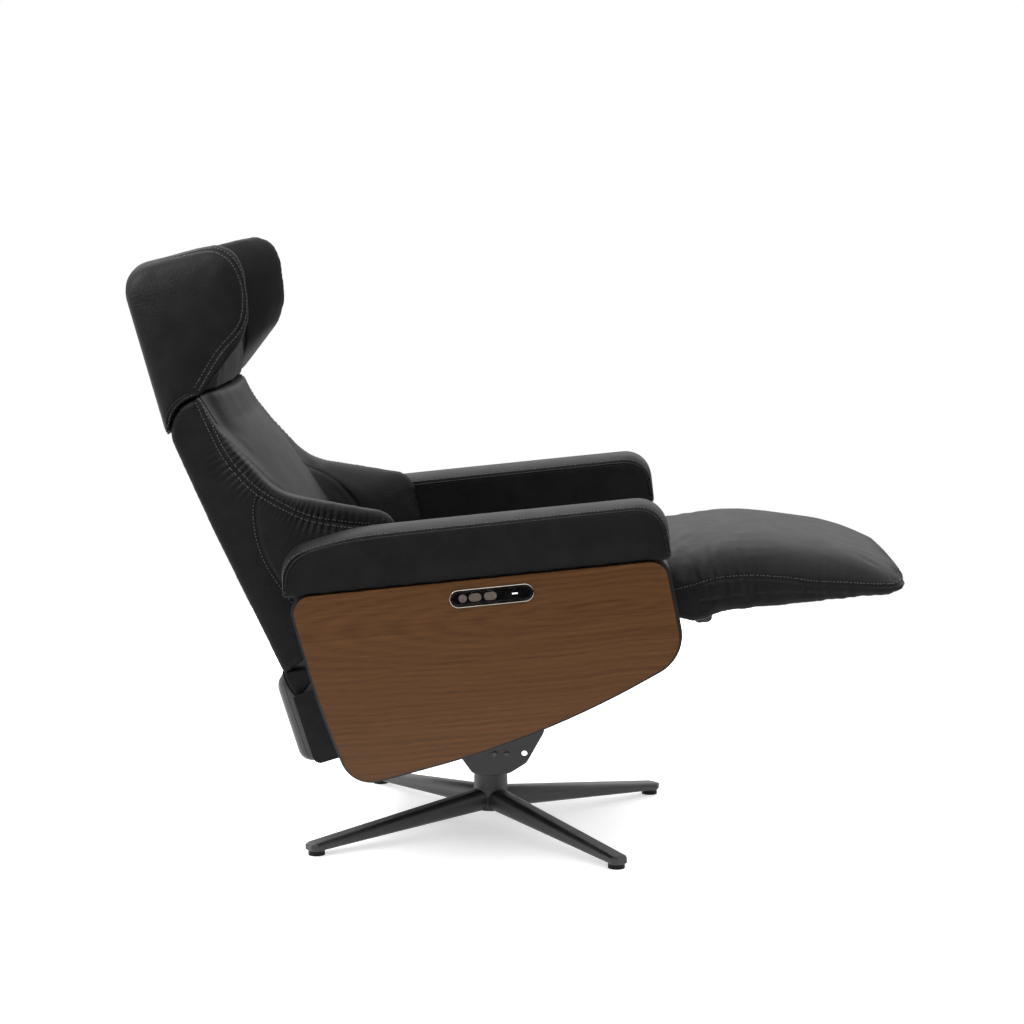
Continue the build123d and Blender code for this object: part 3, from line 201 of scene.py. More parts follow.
# moulded, coated or plated surfaces: two close shades with their patch in millimetres, a range of roughness, and a
# fine relief as its grain in millimetres, strength and depth in metres
finishes = {
    "bondedNylonThread": (  # small dashes, a little paler than the leather
        {"Sheen Weight": 0.3}, ("#252527", "#3a3a3d"), 4.0, (0.45, 0.6), 0.5, (0.4, 0.0002)),
    "powderCoatedSteel": (  # orange peel about a millimetre across, so a soft satin black
        {"Specular IOR Level": 0.55}, ("#131314", "#1b1b1c"), 30.0, (0.4, 0.5), 0.9, (0.2, 0.0002)),
    "blackPassivatedZinc": (  # dark metal with a dull glint
        {"Metallic": 1.0}, ("#3c3c3e", "#4c4c4e"), 12.0, (0.3, 0.44), 0.6, (0.1, 0.0001)),
    "sprayedBlackBeech": (  # closed grain, so an even blue-black
        {"Specular IOR Level": 0.4}, ("#0c0d11", "#15161b"), 45.0, (0.38, 0.5), 1.2, (0.12, 0.0002)),
    "sandedBirchPlywood": (  # pale and dull
        {}, ("#b08d62", "#c9a87c"), 25.0, (0.6, 0.75), 1.0, (0.2, 0.0003)),
    "wovenElasticWebbing": (  # dull, with a coarse weave
        {"Sheen Weight": 0.2}, ("#1d1d1e", "#2b2b2c"), 8.0, (0.8, 0.95), 1.6, (0.7, 0.0006)),
    "platedChrome": (  # a warm rim, close to a mirror
        {"Metallic": 1.0}, ("#857f78", "#99938b"), 20.0, (0.12, 0.2), 2.0, (0.02, 0.0001)),
    "polishedBlackAcrylic": (  # deep black with sharp highlights
        {"Specular IOR Level": 0.5, "Coat Weight": 0.3}, ("#08080a", "#0d0d10"), 15.0, (0.1, 0.16), 2.0,
        (0.01, 0.0001)),
    "mouldedTaupeSilicone": (  # soft warm grey without a sharp highlight
        {}, ("#453c35", "#534941"), 6.0, (0.5, 0.62), 0.6, (0.15, 0.0001)),
    "mouldedWhitePolycarbonate": (  # lit from behind, a clean white spot
        {"Emission Color": linear("#ffffff"), "Emission Strength": 0.35}, ("#eeeeea", "#f8f8f5"), 4.0, (0.2, 0.3), 1.0,
        (0.02, 0.0001)),
    "sparkErodedBlackABS": (  # a fine dull grain
        {"Specular IOR Level": 0.12}, ("#0b0b0c", "#121213"), 18.0, (0.42, 0.55), 0.7, (0.3, 0.0003)),
    "satinMouldedBlackABS": (  # smooth, with one broad highlight
        {"Specular IOR Level": 0.5}, ("#101011", "#161618"), 18.0, (0.29, 0.34), 0.7, (0.04, 0.0001)),
    "blueShrinkWrap": (  # a thin film with some gloss
        {}, ("#2a4a78", "#35588a"), 10.0, (0.3, 0.4), 2.0, (0.05, 0.0002)),
    "greenSolderMask": (  # lacquer on the keypad's board
        {}, ("#123d20", "#184a28"), 6.0, (0.3, 0.42), 0.8, (0.05, 0.0001)),
    "turnedBlackAcetal": (  # dense and slightly waxy
        {}, ("#161617", "#1e1e1f"), 10.0, (0.35, 0.45), 0.8, (0.08, 0.0001)),
}


def makeSolid(name, finish, shades, mottle, polish, grit, grain):
    material, tree, shader, coords = newMaterial(name, finish)
    cloud = addNode(tree, "TexNoise", {"Scale": perMetre(mottle), "Detail": 4.0}, {"Vector": coords})
    colour = addNode(tree, "ValToRGB", {}, {"Fac": cloud.outputs[0]})
    setRamp(colour, [(0.35, shades[0]), (0.65, shades[1])])
    tree.links.new(colour.outputs["Color"], shader.inputs["Base Color"])
    gloss = addNode(tree, "MapRange", mapFrom(0.3, 0.7, *polish), {"Value": cloud.outputs[0]})
    tree.links.new(gloss.outputs["Result"], shader.inputs["Roughness"])
    texture = addNode(tree, "TexNoise", {"Scale": perMetre(grit), "Detail": 2.0}, {"Vector": coords})
    bump = addNode(tree, "Bump", relief(grain), {"Height": texture.outputs[0]})
    tree.links.new(bump.outputs["Normal"], shader.inputs["Normal"])
    return material


leather = makeLeather("pebbledBlackLeather", leatherLook)
walnut = makeWalnut("lacqueredWalnutVeneer", walnutLook)
solid = {name: makeSolid(name, *values) for name, values in finishes.items()}
thread, satinCase = solid["bondedNylonThread"], solid["satinMouldedBlackABS"]
slotMaterial = {
    "black_leather": leather, "walnut_veneer": walnut, "black_arm_core": solid["sprayedBlackBeech"],
    "plywood": solid["sandedBirchPlywood"], "black_steel": solid["powderCoatedSteel"],
    "zinc_steel": solid["blackPassivatedZinc"], "webbing": solid["wovenElasticWebbing"],
    "chrome_trim": solid["platedChrome"], "black_gloss": solid["polishedBlackAcrylic"],
    "taupe_button": solid["mouldedTaupeSilicone"], "white_lens": solid["mouldedWhitePolycarbonate"],
    "circuit_board": solid["greenSolderMask"], "battery_plastic": satinCase, "cell_wrap": solid["blueShrinkWrap"],
    "black_plastic": solid["sparkErodedBlackABS"], "bearing_plastic": solid["turnedBlackAcetal"],
}
for entry in frame["record"]["subparts"]:
    mesh = nodes[entry["node"]].data
    mesh.materials.clear()
    mesh.materials.append(slotMaterial[entry["material_slot"]])
print("materials set")

# broken edges on the hard parts, in millimetres
edgeBreak = {"left_side_panel": 1.6, "right_side_panel": 1.6, "left_arm_core": 2.5, "right_arm_core": 2.5,
             "star_base": 1.2, "tilt_bracket": 0.8, "rear_apron": 2.0, "foot_glides": 1.2, "home_button": 0.4,
             "back_button": 0.4, "foot_button": 0.4, "battery_button": 0.4}
edgeLook = {"segments": 3, "sharper": 38.0}
for name, width in edgeBreak.items():
    bevel = nodes[name].modifiers.new("brokenEdge", "BEVEL")
    bevel.width = width / 1000
    bevel.segments = edgeLook["segments"]
    bevel.limit_method = "ANGLE"
    bevel.angle_limit = math.radians(edgeLook["sharper"])
    bevel.harden_normals = True
print("edges broken")


def rounded(corners, radii, arcSteps=7, runSteps=9):  # closed outline with a fixed count of points
    points = [Vector(corner) for corner in corners]
    count = len(points)
    sideShare = 0.48  # of the shorter side, the most that a corner's arc takes
    arcs = []
    for k in range(count):
        here = points[k]
        toBefore, toAfter = points[k - 1] - here, points[(k + 1) % count] - here
        room = sideShare * min(toBefore.length, toAfter.length)
        toBefore.normalize()
        toAfter.normalize()
        opening = math.acos(max(-1.0, min(1.0, toBefore.dot(toAfter))))
        reach = min(room, max(radii[k], 0.01) / math.tan(opening / 2))
        start, end = here + toBefore * reach, here + toAfter * reach
        middle = here + (toBefore + toAfter).normalized() * (reach / math.cos(opening / 2))
        sweep = math.pi - opening
        arc = []
        for step in range(arcSteps + 1):
            t = step / arcSteps
            if sweep < 1e-3:
                arc.append(start.lerp(end, t))
            else:
                arc.append(middle + ((start - middle) * math.sin((1 - t) * sweep)
                                     + (end - middle) * math.sin(t * sweep)) / math.sin(sweep))
        arcs.append(arc)
    outline = []
    for k in range(count):
        outline += arcs[k]
        first, last = arcs[k][-1], arcs[(k + 1) % count][0]
        outline += [first.lerp(last, (step + 1) / (runSteps + 1)) for step in range(runSteps)]
    return [(p.x, p.y) for p in outline]


def mixed(first, second, share):  # between two lists of points or numbers
    return [tuple(a + (b - a) * share for a, b in zip(p, q)) for p, q in zip(first, second)]


def loft(name, body, stations):  # stations are (y, outline), from the right side to the left
    made = bmesh.new()
    rings = [[made.verts.new(place(body, x, y, z)) for x, z in outline] for y, outline in stations]
    size = len(rings[0])
    for near, far in zip(rings, rings[1:]):
        for k in range(size):
            made.faces.new((near[k], near[(k + 1) % size], far[(k + 1) % size], far[k]))
    made.faces.new(rings[0])
    made.faces.new(rings[-1])
    bmesh.ops.triangulate(made, faces=[f for f in made.faces if len(f.verts) > 4])
    bmesh.ops.recalc_face_normals(made, faces=made.faces)
    mesh = bpy.data.meshes.new(name)
    made.to_mesh(mesh)
    made.free()
    return mesh


def mirrored(knots):  # stations of the left half, carried over to the right
    right = [(-y, value) for y, value in reversed(knots) if y > 0]
    return right + list(knots)


def evaluated(obj):  # what an object's modifiers make, as a mesh of its own
    depsgraph = bpy.context.evaluated_depsgraph_get()
    return bpy.data.meshes.new_from_object(obj.evaluated_get(depsgraph), depsgraph=depsgraph)


def asObject(name, mesh):
    obj = bpy.data.objects.new(name, mesh)
    scene.collection.objects.link(obj)
    return obj


def remeshed(name, mesh, voxel):  # even quads all over
    rough = asObject(name + "Rough", mesh)
    voxels = rough.modifiers.new("voxels", "REMESH")
    voxels.mode = "VOXEL"
    voxels.voxel_size = voxel / 1000
    even = evaluated(rough)
    bpy.data.objects.remove(rough)
    even.name = name
    return even


def coordsOf(mesh):
    flat = np.zeros(len(mesh.vertices) * 3)
    mesh.vertices.foreach_get("co", flat)
    return flat.reshape(-1, 3)


def normalsOf(mesh):
    flat = np.zeros(len(mesh.vertices) * 3, np.float32)
    mesh.vertex_normals.foreach_get("vector", flat)
    return flat.reshape(-1, 3).astype(float)


def setCoords(mesh, points):
    mesh.vertices.foreach_set("co", points.astype(np.float32).ravel())
    mesh.update()


def neighbourMean(mesh):  # gives a function for the mean of each point's neighbours
    flat = np.zeros(len(mesh.edges) * 2, np.int64)
    mesh.edges.foreach_get("vertices", flat)
    a, b = flat.reshape(-1, 2).T
    ends = np.concatenate([a, b])
    count = np.bincount(ends, minlength=len(mesh.vertices))[:, None]

    def mean(points):
        sums = [np.bincount(ends, np.concatenate([points[b, i], points[a, i]]), minlength=len(points))
                for i in range(3)]
        return np.stack(sums, axis=1) / count

    return mean


def relax(mesh, rounds, keep=None):  # evens out ridges: each shrinking step is followed by a growing one
    points, mean = coordsOf(mesh), neighbourMean(mesh)
    for k in range(rounds * 2):
        step = (mean(points) - points) * (0.5 if k % 2 == 0 else -0.515)
        points = points + (step if keep is None else step * (1 - keep)[:, None])
    setCoords(mesh, points)


def iron(mesh, rounds, share):  # pulls a skin flat where its share says so
    points, mean = coordsOf(mesh), neighbourMean(mesh)
    for k in range(rounds):
        points = points + (mean(points) - points) * 0.5 * share[:, None]
    setCoords(mesh, points)


def bvhOf(mesh):
    mesh.calc_loop_triangles()
    return BVHTree.FromPolygons([v.co for v in mesh.vertices], [t.vertices for t in mesh.loop_triangles])


def smoothPath(points, step):  # a smooth line through 3D points, at an even step in metres
    knots = [points[0] * 2 - points[1]] + points + [points[-1] * 2 - points[-2]]
    dense, perSpan = [], 24
    for p0, p1, p2, p3 in zip(knots, knots[1:], knots[2:], knots[3:]):
        for k in range(perSpan):
            t = k / perSpan
            dense.append(0.5 * (2 * p1 + (p2 - p0) * t + (2 * p0 - 5 * p1 + 4 * p2 - p3) * t * t
                                + (3 * p1 - p0 - 3 * p2 + p3) * t ** 3))
    dense.append(points[-1])
    even, left = [dense[0]], step
    for start, end in zip(dense, dense[1:]):
        length = (end - start).length
        while length > left and length > 1e-9:
            start = start.lerp(end, left / length)
            even.append(start)
            length = (end - start).length
            left = step
        left -= length
    return even


# seams: the step between the points of a line and how far each puckers, in millimetres
seamLook = {"step": 1.5, "window": 8, "reach": 50.0, "holdReach": 30.0, "batch": 4000, "plain": 3.5,
            "wander": ((9.0, 0.019), (6.0, 0.043)), "pull": (0.35, 0.65), "pullTurn": (0.031, 2.0)}


def seamOn(tree, body, points):  # a seam's line laid on a surface, as places and normals
    line = smoothPath([place(body, *p) for p in points], seamLook["step"] / 1000)
    spots = np.array([tree.find_nearest(p)[0] for p in line])
    window = seamLook["window"]
    width = 2 * window + 1
    padded = np.concatenate([spots[:1].repeat(window, 0), spots, spots[-1:].repeat(window, 0)])
    even = sum(padded[k:k + len(spots)] for k in range(width)) / width
    even[:3], even[-3:] = spots[:3], spots[-3:]
    return [tree.find_nearest(Vector(p))[:2] for p in even]


def sided(points, side):  # a line given for the left side, or the same on the right
    return points if side > 0 else [(x, -y, z) for x, y, z in points]


def seamsOn(tree, body, look, keys):
    return {(key, side): seamOn(tree, body, sided(look[key], side)) for side in sides for key in keys}


def nearestTo(points, line, reach):  # distance to a seam and place along it, for each point within reach
    path = np.array([p for p, n in line])
    low, high = path.min(0) - reach, path.max(0) + reach
    inside = np.nonzero(((points > low) & (points < high)).all(axis=1))[0]
    distance = np.full(len(points), 1.0)
    index = np.zeros(len(points), int)
    for k in range(0, len(inside), seamLook["batch"]):
        part = inside[k:k + seamLook["batch"]]
        gaps = np.linalg.norm(points[part][:, None, :] - path[None, :, :], axis=2)
        index[part] = gaps.argmin(1)
        distance[part] = gaps.min(1)
    return distance, index


def keepHeld(mesh, lines, reach):  # how firmly seams hold the skin while it swells
    points = coordsOf(mesh)
    held = np.zeros(len(points))
    for line in lines:
        distance, index = nearestTo(points, line, seamLook["holdReach"] / 1000)
        held = np.maximum(held, np.exp(-(distance * 1000 / reach) ** 2))
    return held


def rising(values, start, width, top=1.0):  # from nothing at a place to the top further on
    return np.clip((values - start) / width, 0, top)


def falling(values, end, width, top=1.0):  # from the top to nothing at a place
    return np.clip((end - values) / width, 0, top)


clothSkin = {"frames": 20, "quality": 3, "mass": 0.3, "stretch": 18, "shear": 8, "bend": 0.6, "quickShare": 0.35}


def inflate(obj, look, holds):  # a cloth skin under pressure, no point moved past its cap
    mesh = obj.data
    before = coordsOf(mesh)
    held = np.clip(np.maximum.reduce(holds), 0, 1)
    group = obj.vertex_groups.new(name="held")
    for index in np.nonzero(held > 0.01)[0]:
        group.add([int(index)], float(held[index]), "REPLACE")
    skin = obj.modifiers.new("skin", "CLOTH")
    cloth = skin.settings
    cloth.quality = clothSkin["quality"]
    cloth.mass = clothSkin["mass"]
    cloth.tension_stiffness = cloth.compression_stiffness = clothSkin["stretch"]
    cloth.shear_stiffness = clothSkin["shear"]
    cloth.bending_stiffness = clothSkin["bend"]
    cloth.use_pressure = True
    cloth.uniform_pressure_force = look["pressure"]
    cloth.effector_weights.gravity = 0
    cloth.vertex_group_mass = "held"
    skin.collision_settings.use_collision = False
    skin.point_cache.frame_start = 1
    skin.point_cache.frame_end = clothSkin["frames"]
    for number in range(1, clothSkin["frames"] + 1):
        scene.frame_set(number)
    swollen = evaluated(obj)
    move = coordsOf(swollen) - before
    length = np.linalg.norm(move, axis=1)
    limit = look["cap"] * (1 - held) / 1000
    move *= np.minimum(1, limit / np.maximum(length, 1e-9))[:, None]
    obj.modifiers.remove(skin)
    obj.vertex_groups.remove(group)
    setCoords(mesh, before + move)
    bpy.data.meshes.remove(swollen)
    scene.frame_set(1)


def swapMesh(obj, mesh):
    old = obj.data
    obj.data = mesh
    bpy.data.meshes.remove(old)


def divided(obj, calm):  # evens the skin out, then one applied subdivision
    relax(obj.data, calm)
    finer = obj.modifiers.new("finer", "SUBSURF")
    finer.levels = finer.render_levels = 1
    mesh = evaluated(obj)
    obj.modifiers.remove(finer)
    swapMesh(obj, mesh)


def carve(obj, body, corners):  # takes the hull of some corners out of a piece
    made = bmesh.new()
    bmesh.ops.convex_hull(made, input=[made.verts.new(place(body, *corner)) for corner in corners])
    bmesh.ops.recalc_face_normals(made, faces=made.faces)
    mesh = bpy.data.meshes.new("carving")
    made.to_mesh(mesh)
    made.free()
    cutter = asObject("carving", mesh)
    cut = obj.modifiers.new("carved", "BOOLEAN")
    cut.operation = "DIFFERENCE"
    cut.solver = "EXACT"
    cut.object = cutter
    opened = evaluated(obj)
    obj.modifiers.remove(cut)
    swapMesh(obj, opened)
    bpy.data.objects.remove(cutter)
    bpy.data.meshes.remove(mesh)


def sew(obj, line, depth, width, pucker=0.0, pitch=9.0, spread=16.0):  # sinks a seam and draws puckers across it
    points, normals = coordsOf(obj.data), normalsOf(obj.data)
    distance, index = nearestTo(points, line, seamLook["reach"] / 1000)
    groove = depth * np.exp(-(distance * 1000 / width) ** 2)
    if pucker:
        phase = index * seamLook["step"] / pitch * 2 * math.pi
        for size, turn in seamLook["wander"]:
            phase = phase + size * np.sin(index * turn)
        fade = np.exp(-(distance * 1000 / spread) ** 2) * (1 - np.exp(-(distance * 1000 / seamLook["plain"]) ** 2))
        least, more = seamLook["pull"]
        turn, start = seamLook["pullTurn"]
        pull = least + more * np.sin(index * turn + start) ** 2  # some stitches draw harder than others
        groove += pucker * pull * (0.5 + 0.5 * np.sin(phase)) * fade
    setCoords(obj.data, points - normals * groove[:, None] / 1000)


def sewAll(obj, paths, sewing):  # lays each seam on the swollen skin and sews it
    tree = bvhOf(obj.data)
    for (key, side), path in paths.items():
        paths[key, side] = [tree.find_nearest(p)[:2] for p, n in path]
        sew(obj, paths[key, side], *sewing[key])


def finishMesh(mesh, material):
    mesh.materials.clear()
    mesh.materials.append(material)
    mesh.polygons.foreach_set("use_smooth", [True] * len(mesh.polygons))
    mesh.update()


def tube(verts, faces, rings, corners):  # rings are (middle, across, up, radius), closed at both ends
    first = len(verts)
    for middle, across, up, radius in rings:
        for turn in range(corners):
            angle = turn * 2 * math.pi / corners
            verts.append(middle + (across * math.cos(angle) + up * math.sin(angle)) * (radius / 1000))
    last = len(verts) - corners
    for low in range(first, last, corners):
        for turn in range(corners):
            after = (turn + 1) % corners
            faces.append((low + turn, low + after, low + corners + after, low + corners + turn))
    faces.append(tuple(first + turn for turn in reversed(range(corners))))
    faces.append(tuple(last + turn for turn in range(corners)))


def trim(name, verts, faces, material, body):  # thread or cord that rides on a body
    mesh = bpy.data.meshes.new(name)
    mesh.from_pydata(verts, [], faces)
    finishMesh(mesh, material)
    obj = asObject(name, mesh)
    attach(obj, body)


# thread: spacing, length and radius of a stitch in millimetres, and its rings as places along it, widths and lifts
wideStitch = {"pitch": 5.4, "length": 3.7, "radius": 0.6}
armStitch = {"pitch": 5.2, "length": 3.5, "radius": 0.55}
stitchRings = ((-1.0, 0.25, -0.9), (-0.72, 0.85, -0.25), (0.0, 1.0, 0.15), (0.72, 0.85, -0.25), (1.0, 0.25, -0.9))


def stitches(name, tree, rows, look, body):  # rows of thread, lying on the leather
    verts, faces = [], []
    for line, offset in rows:
        along = 0.0
        for k in range(1, len(line) - 1):
            along += (line[k][0] - line[k - 1][0]).length * 1000
            if along < look["pitch"]:
                continue
            along -= look["pitch"]
            ahead = (line[k + 1][0] - line[k - 1][0]).normalized()
            across = line[k][1].cross(ahead)
            spot, up = tree.find_nearest(line[k][0] + across * offset / 1000)[:2]
            ahead = (ahead - up * ahead.dot(up)).normalized()
            across = up.cross(ahead)
            rings = []
            for t, share, lift in stitchRings:
                middle = spot + ahead * (t * look["length"] / 2000) + up * (lift * look["radius"]) / 1000
                rings.append((middle, across, up, share * look["radius"]))
            tube(verts, faces, rings, 6)
    trim(name, verts, faces, thread, body)


def welt(name, tree, line, offset, radius, lift, body):  # a leather cord sewn in beside a seam
    verts, faces, rings = [], [], []
    taper = 6  # rings from a pointed end to the full width
    for k, (spot, normal) in enumerate(line):
        ahead = (line[min(k + 1, len(line) - 1)][0] - line[max(k - 1, 0)][0]).normalized()
        spot, normal = tree.find_nearest(spot + normal.cross(ahead) * offset / 1000)[:2]
        across = normal.cross(ahead).normalized()
        up = ahead.cross(across)
        share = min(1.0, (k + 1) / taper, (len(line) - k) / taper)
        rings.append((spot + up * lift / 1000, across, up, radius * share))
    tube(verts, faces, rings, 8)
    trim(name, verts, faces, leather, body)


def upholster(obj, body, replaced, title, cutEdge=None):  # an angle keeps the rim of a cut crisp
    finishMesh(obj.data, leather)
    if cutEdge:
        obj.data.set_sharp_from_angle(angle=math.radians(cutEdge))
    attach(obj, body)
    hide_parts(*replaced)
    print(title + ":", len(obj.data.vertices), "points")


def creases(points, normals, centre, reach, amount, stretch, seed):  # soft folds in slack leather, fading from a place
    offset = Vector((3.1, 1.7, 0.9)) * seed
    sharpness, falloff = 2.2, 1.3
    gaps = np.linalg.norm(points - np.array(centre), axis=1)
    for k in np.nonzero(gaps < reach)[0]:
        x, y, z = (value * many for value, many in zip(points[k], stretch))
        ridge = 1 - abs(noise.noise(Vector((x, y, z)) + offset)) * sharpness
        fade = (1 - gaps[k] / reach) ** falloff
        points[k] += normals[k] * (amount * ridge * fade / 1000)
    return points


# headrest: one cover over a middle cushion and two wings that bend forward
headrest = {
    "voxel": 5.5, "relax": 8, "pressure": 3.5, "cap": 6.0, "calm": 10, "neck": 59.2, "neckFade": 14.0, "hold": 6.0,
    "flatRear": (-52, 10, 0.6), "threadBeside": 4.2, "threadByHem": 5.0, "hemCord": (0.0, 1.5, 0.4), "fill": 0.8,
    "sewing": {"frontSeam": (2.4, 2.8, 0.7, 8.0, 11.0), "innerSeam": (1.8, 2.8), "rearSeam": (1.8, 2.8)},
    "middle": lambda i, e: [(-66, 3), (-30, 44), (20 - i, 50), (41 - i, 84), (44 - i, 120), (44 - i, 190),
                            (44 - i, 241), (18 - i, 284 - i * 0.4), (-66, 284 - i * 0.2)],
    "wing": lambda i, e: [(-66 + e * 0.3, 3), (-30, 44), (4, 56), (99 - i, 126 - i * 0.3), (120 - i, 160 - i * 0.2),
                          (132 - i, 224 - i * 0.1), (129 - i * 1.1, 263 - e * 0.3), (106 - i * 1.2, 286 - e * 0.8),
                          (-67 + e * 0.3, 286 - e * 0.8)],
    "middleRadii": [4, 6, 10, 24, 40, 40, 34, 20, 42], "wingRadii": [4, 6, 14, 46, 60, 90, 50, 30, 44],
    "knots": [(0, "middle", 0, 0), (110, "middle", 3, 0), (165, "middle", 7, 0), (203, "wing", 80, 0),
              (220, "wing", 54, 1), (238, "wing", 28, 2), (255, "wing", 9, 3), (265, "wing", 2, 6),
              (273, "wing", 4, 11), (279, "wing", 10, 20), (283, "wing", 20, 34), (285.5, "wing", 34, 58)],
    "frontSeam": [(40, 268, 287), (62, 270, 286), (81, 272, 280), (97, 273, 271), (109, 273, 260), (117, 273, 242),
                  (120, 273, 221), (120, 273, 200), (117, 275, 181), (111, 278, 163), (101, 281, 147),
                  (87, 284, 136), (71, 285, 127), (48, 285, 110), (24, 285, 87), (5, 285, 69)],
    "innerSeam": [(30, 203, 66), (42, 203, 100), (45, 203, 150), (46, 203, 200), (47, 203, 250), (28, 203, 287)],
    "rearSeam": [(-68, 262, 14), (-68, 262, 90), (-68, 262, 180), (-68, 262, 240), (-62, 262, 275), (-30, 262, 287),
                 (10, 262, 287), (40, 268, 287)],
    "hem": [(-63, 287, 22), (-55, 287, 38), (-41, 287, 53), (-23, 287, 63), (-4, 287, 67)],
}


def headStations(look):
    stations = []
    for y, (kind, inset, rim) in mirrored([(y, (kind, i, e)) for y, kind, i, e in look["knots"]]):
        outline = rounded(look[kind](inset, rim), look[kind + "Radii"])
        clear = []
        for x, z in outline:
            radius = math.hypot(x, z)
            grow = look["neck"] / radius if radius < look["neck"] else 1.0
            clear.append((x * grow, z * grow))
        stations.append((y, clear))
    return stations


def makeHeadrest(look):
    mesh = remeshed("head_upholstery", loft("headLoft", "headrest", headStations(look)), look["voxel"])
    local = unplace("headrest", coordsOf(mesh))
    neckHeld = np.clip(1 - (np.hypot(local[:, 0], local[:, 2]) - look["neck"]) / look["neckFade"], 0, 1)
    relax(mesh, look["relax"], neckHeld)
    obj = asObject("head_upholstery", mesh)
    paths = seamsOn(bvhOf(mesh), "headrest", look, look["sewing"])
    local = unplace("headrest", coordsOf(mesh))
    flatRear = falling(local[:, 0], *look["flatRear"])
    inflate(obj, look, [keepHeld(mesh, paths.values(), look["hold"]), neckHeld, flatRear])
    divided(obj, look["calm"])
    sewAll(obj, paths, look["sewing"])
    tree = bvhOf(obj.data)
    rows = []
    for side, name in zip(sides, sideNames):
        rows += [(paths["frontSeam", side], look["threadBeside"]), (paths["frontSeam", side], -look["threadBeside"])]
        hem = seamOn(tree, "headrest", sided(look["hem"], side))
        welt(name + "_head_hem_cord", tree, hem, *look["hemCord"], "headrest")
        rows.append((hem, look["threadByHem"] * side))
    stitches("head_stitching", tree, rows, wideStitch, "headrest")
    upholster(obj, "headrest", ("head_cover", "head_cushion", "left_head_wing", "right_head_wing"),
              "headrest")


makeHeadrest(headrest)

# backrest: one cover over a middle cushion and two bolsters that reach round the sitter
backrest = {
    "voxel": 5.5, "relax": 7, "pressure": 3.5, "cap": 7.0, "calm": 40, "iron": 45, "neck": (-5.5, 425.0, 57.2),
    "neckFade": 14.0, "hold": 6.0, "flatRear": (-50, 10, 0.7), "flatFoot": (40, 20, 0.8), "threadBeside": 4.4,
    "tight": {"side": (178, 25), "low": (60, 30), "high": (420, 30), "front": (0, 15)}, "cutEdge": 60.0, "fill": 0.75,
    "sewing": {"frontSeam": (2.6, 2.8, 3.4, 8.4, 22.0), "sideSeam": (2.0, 2.8), "innerSeam": (2.0, 2.8),
               "rearSeam": (2.0, 2.8)},
    "middle": lambda i: [(-55, 14), (28, 18), (74 - i, 26), (88 - i, 112), (56 - i, 305), (36 - i * 1.1, 415),
                         (34 - i * 1.2, 486), (-62, 486), (-62, 270)],
    "bolster": lambda i: [(-55, 14), (46, 44), (200 - i, 93), (218 - i, 184 + i * 0.15), (54 - i * 0.1, 288),
                          (15, 405), (4, 486), (-62, 486), (-62, 270)],
    "middleRadii": [6, 14, 24, 160, 500, 90, 3, 3, 900], "bolsterRadii": [6, 24, 24, 34, 110, 200, 3, 3, 900],
    "knots": [(0, "middle", 0), (110, "middle", 4), (165, "middle", 9), (190, "middle", 14), (205, "bolster", 96),
              (222, "bolster", 60), (238, "bolster", 32), (254, "bolster", 8), (264, "bolster", 3),
              (271, "bolster", 6), (275, "bolster", 12), (277, "bolster", 22)],
    "frontSeam": [(5, 276, 478), (4, 276, 442), (6, 276, 379), (19, 276, 329), (34, 275, 298), (59, 273, 264),
                  (89, 272, 231), (136, 270, 200), (178, 268, 176), (200, 266, 150)],
    "sideSeam": [(33, 277, 300), (19, 277, 286), (9, 277, 264), (0, 277, 232), (-3, 277, 195), (2, 277, 157),
                 (12, 277, 110), (24, 277, 60)],
    "innerSeam": [(66, 202, 296), (78, 202, 270), (96, 203, 220), (108, 203, 170), (102, 203, 120), (82, 203, 80)],
    "rearSeam": [(-65, 258, 20), (-65, 258, 130), (-65, 258, 250), (-65, 258, 360), (-62, 258, 440)],
    "slot": [(x, y, z) for y in (243.7, 251.3) for x, z in ((-30, 428), (30, 428), (40, 500), (-30, 500))],
}


def backStations(look):
    stations = []
    neckX, neckZ, neckRadius = look["neck"]
    for y, (kind, inset) in mirrored([(y, (kind, i)) for y, kind, i in look["knots"]]):
        outline = rounded(look[kind](inset), look[kind + "Radii"])
        clear = []
        for x, z in outline:
            dx, dz = x - neckX, z - neckZ
            radius = math.hypot(dx, dz)
            if dz > 0 and radius > neckRadius:
                dx, dz = dx * neckRadius / radius, dz * neckRadius / radius
            clear.append((neckX + dx, neckZ + dz))
        stations.append((y, clear))
    return stations


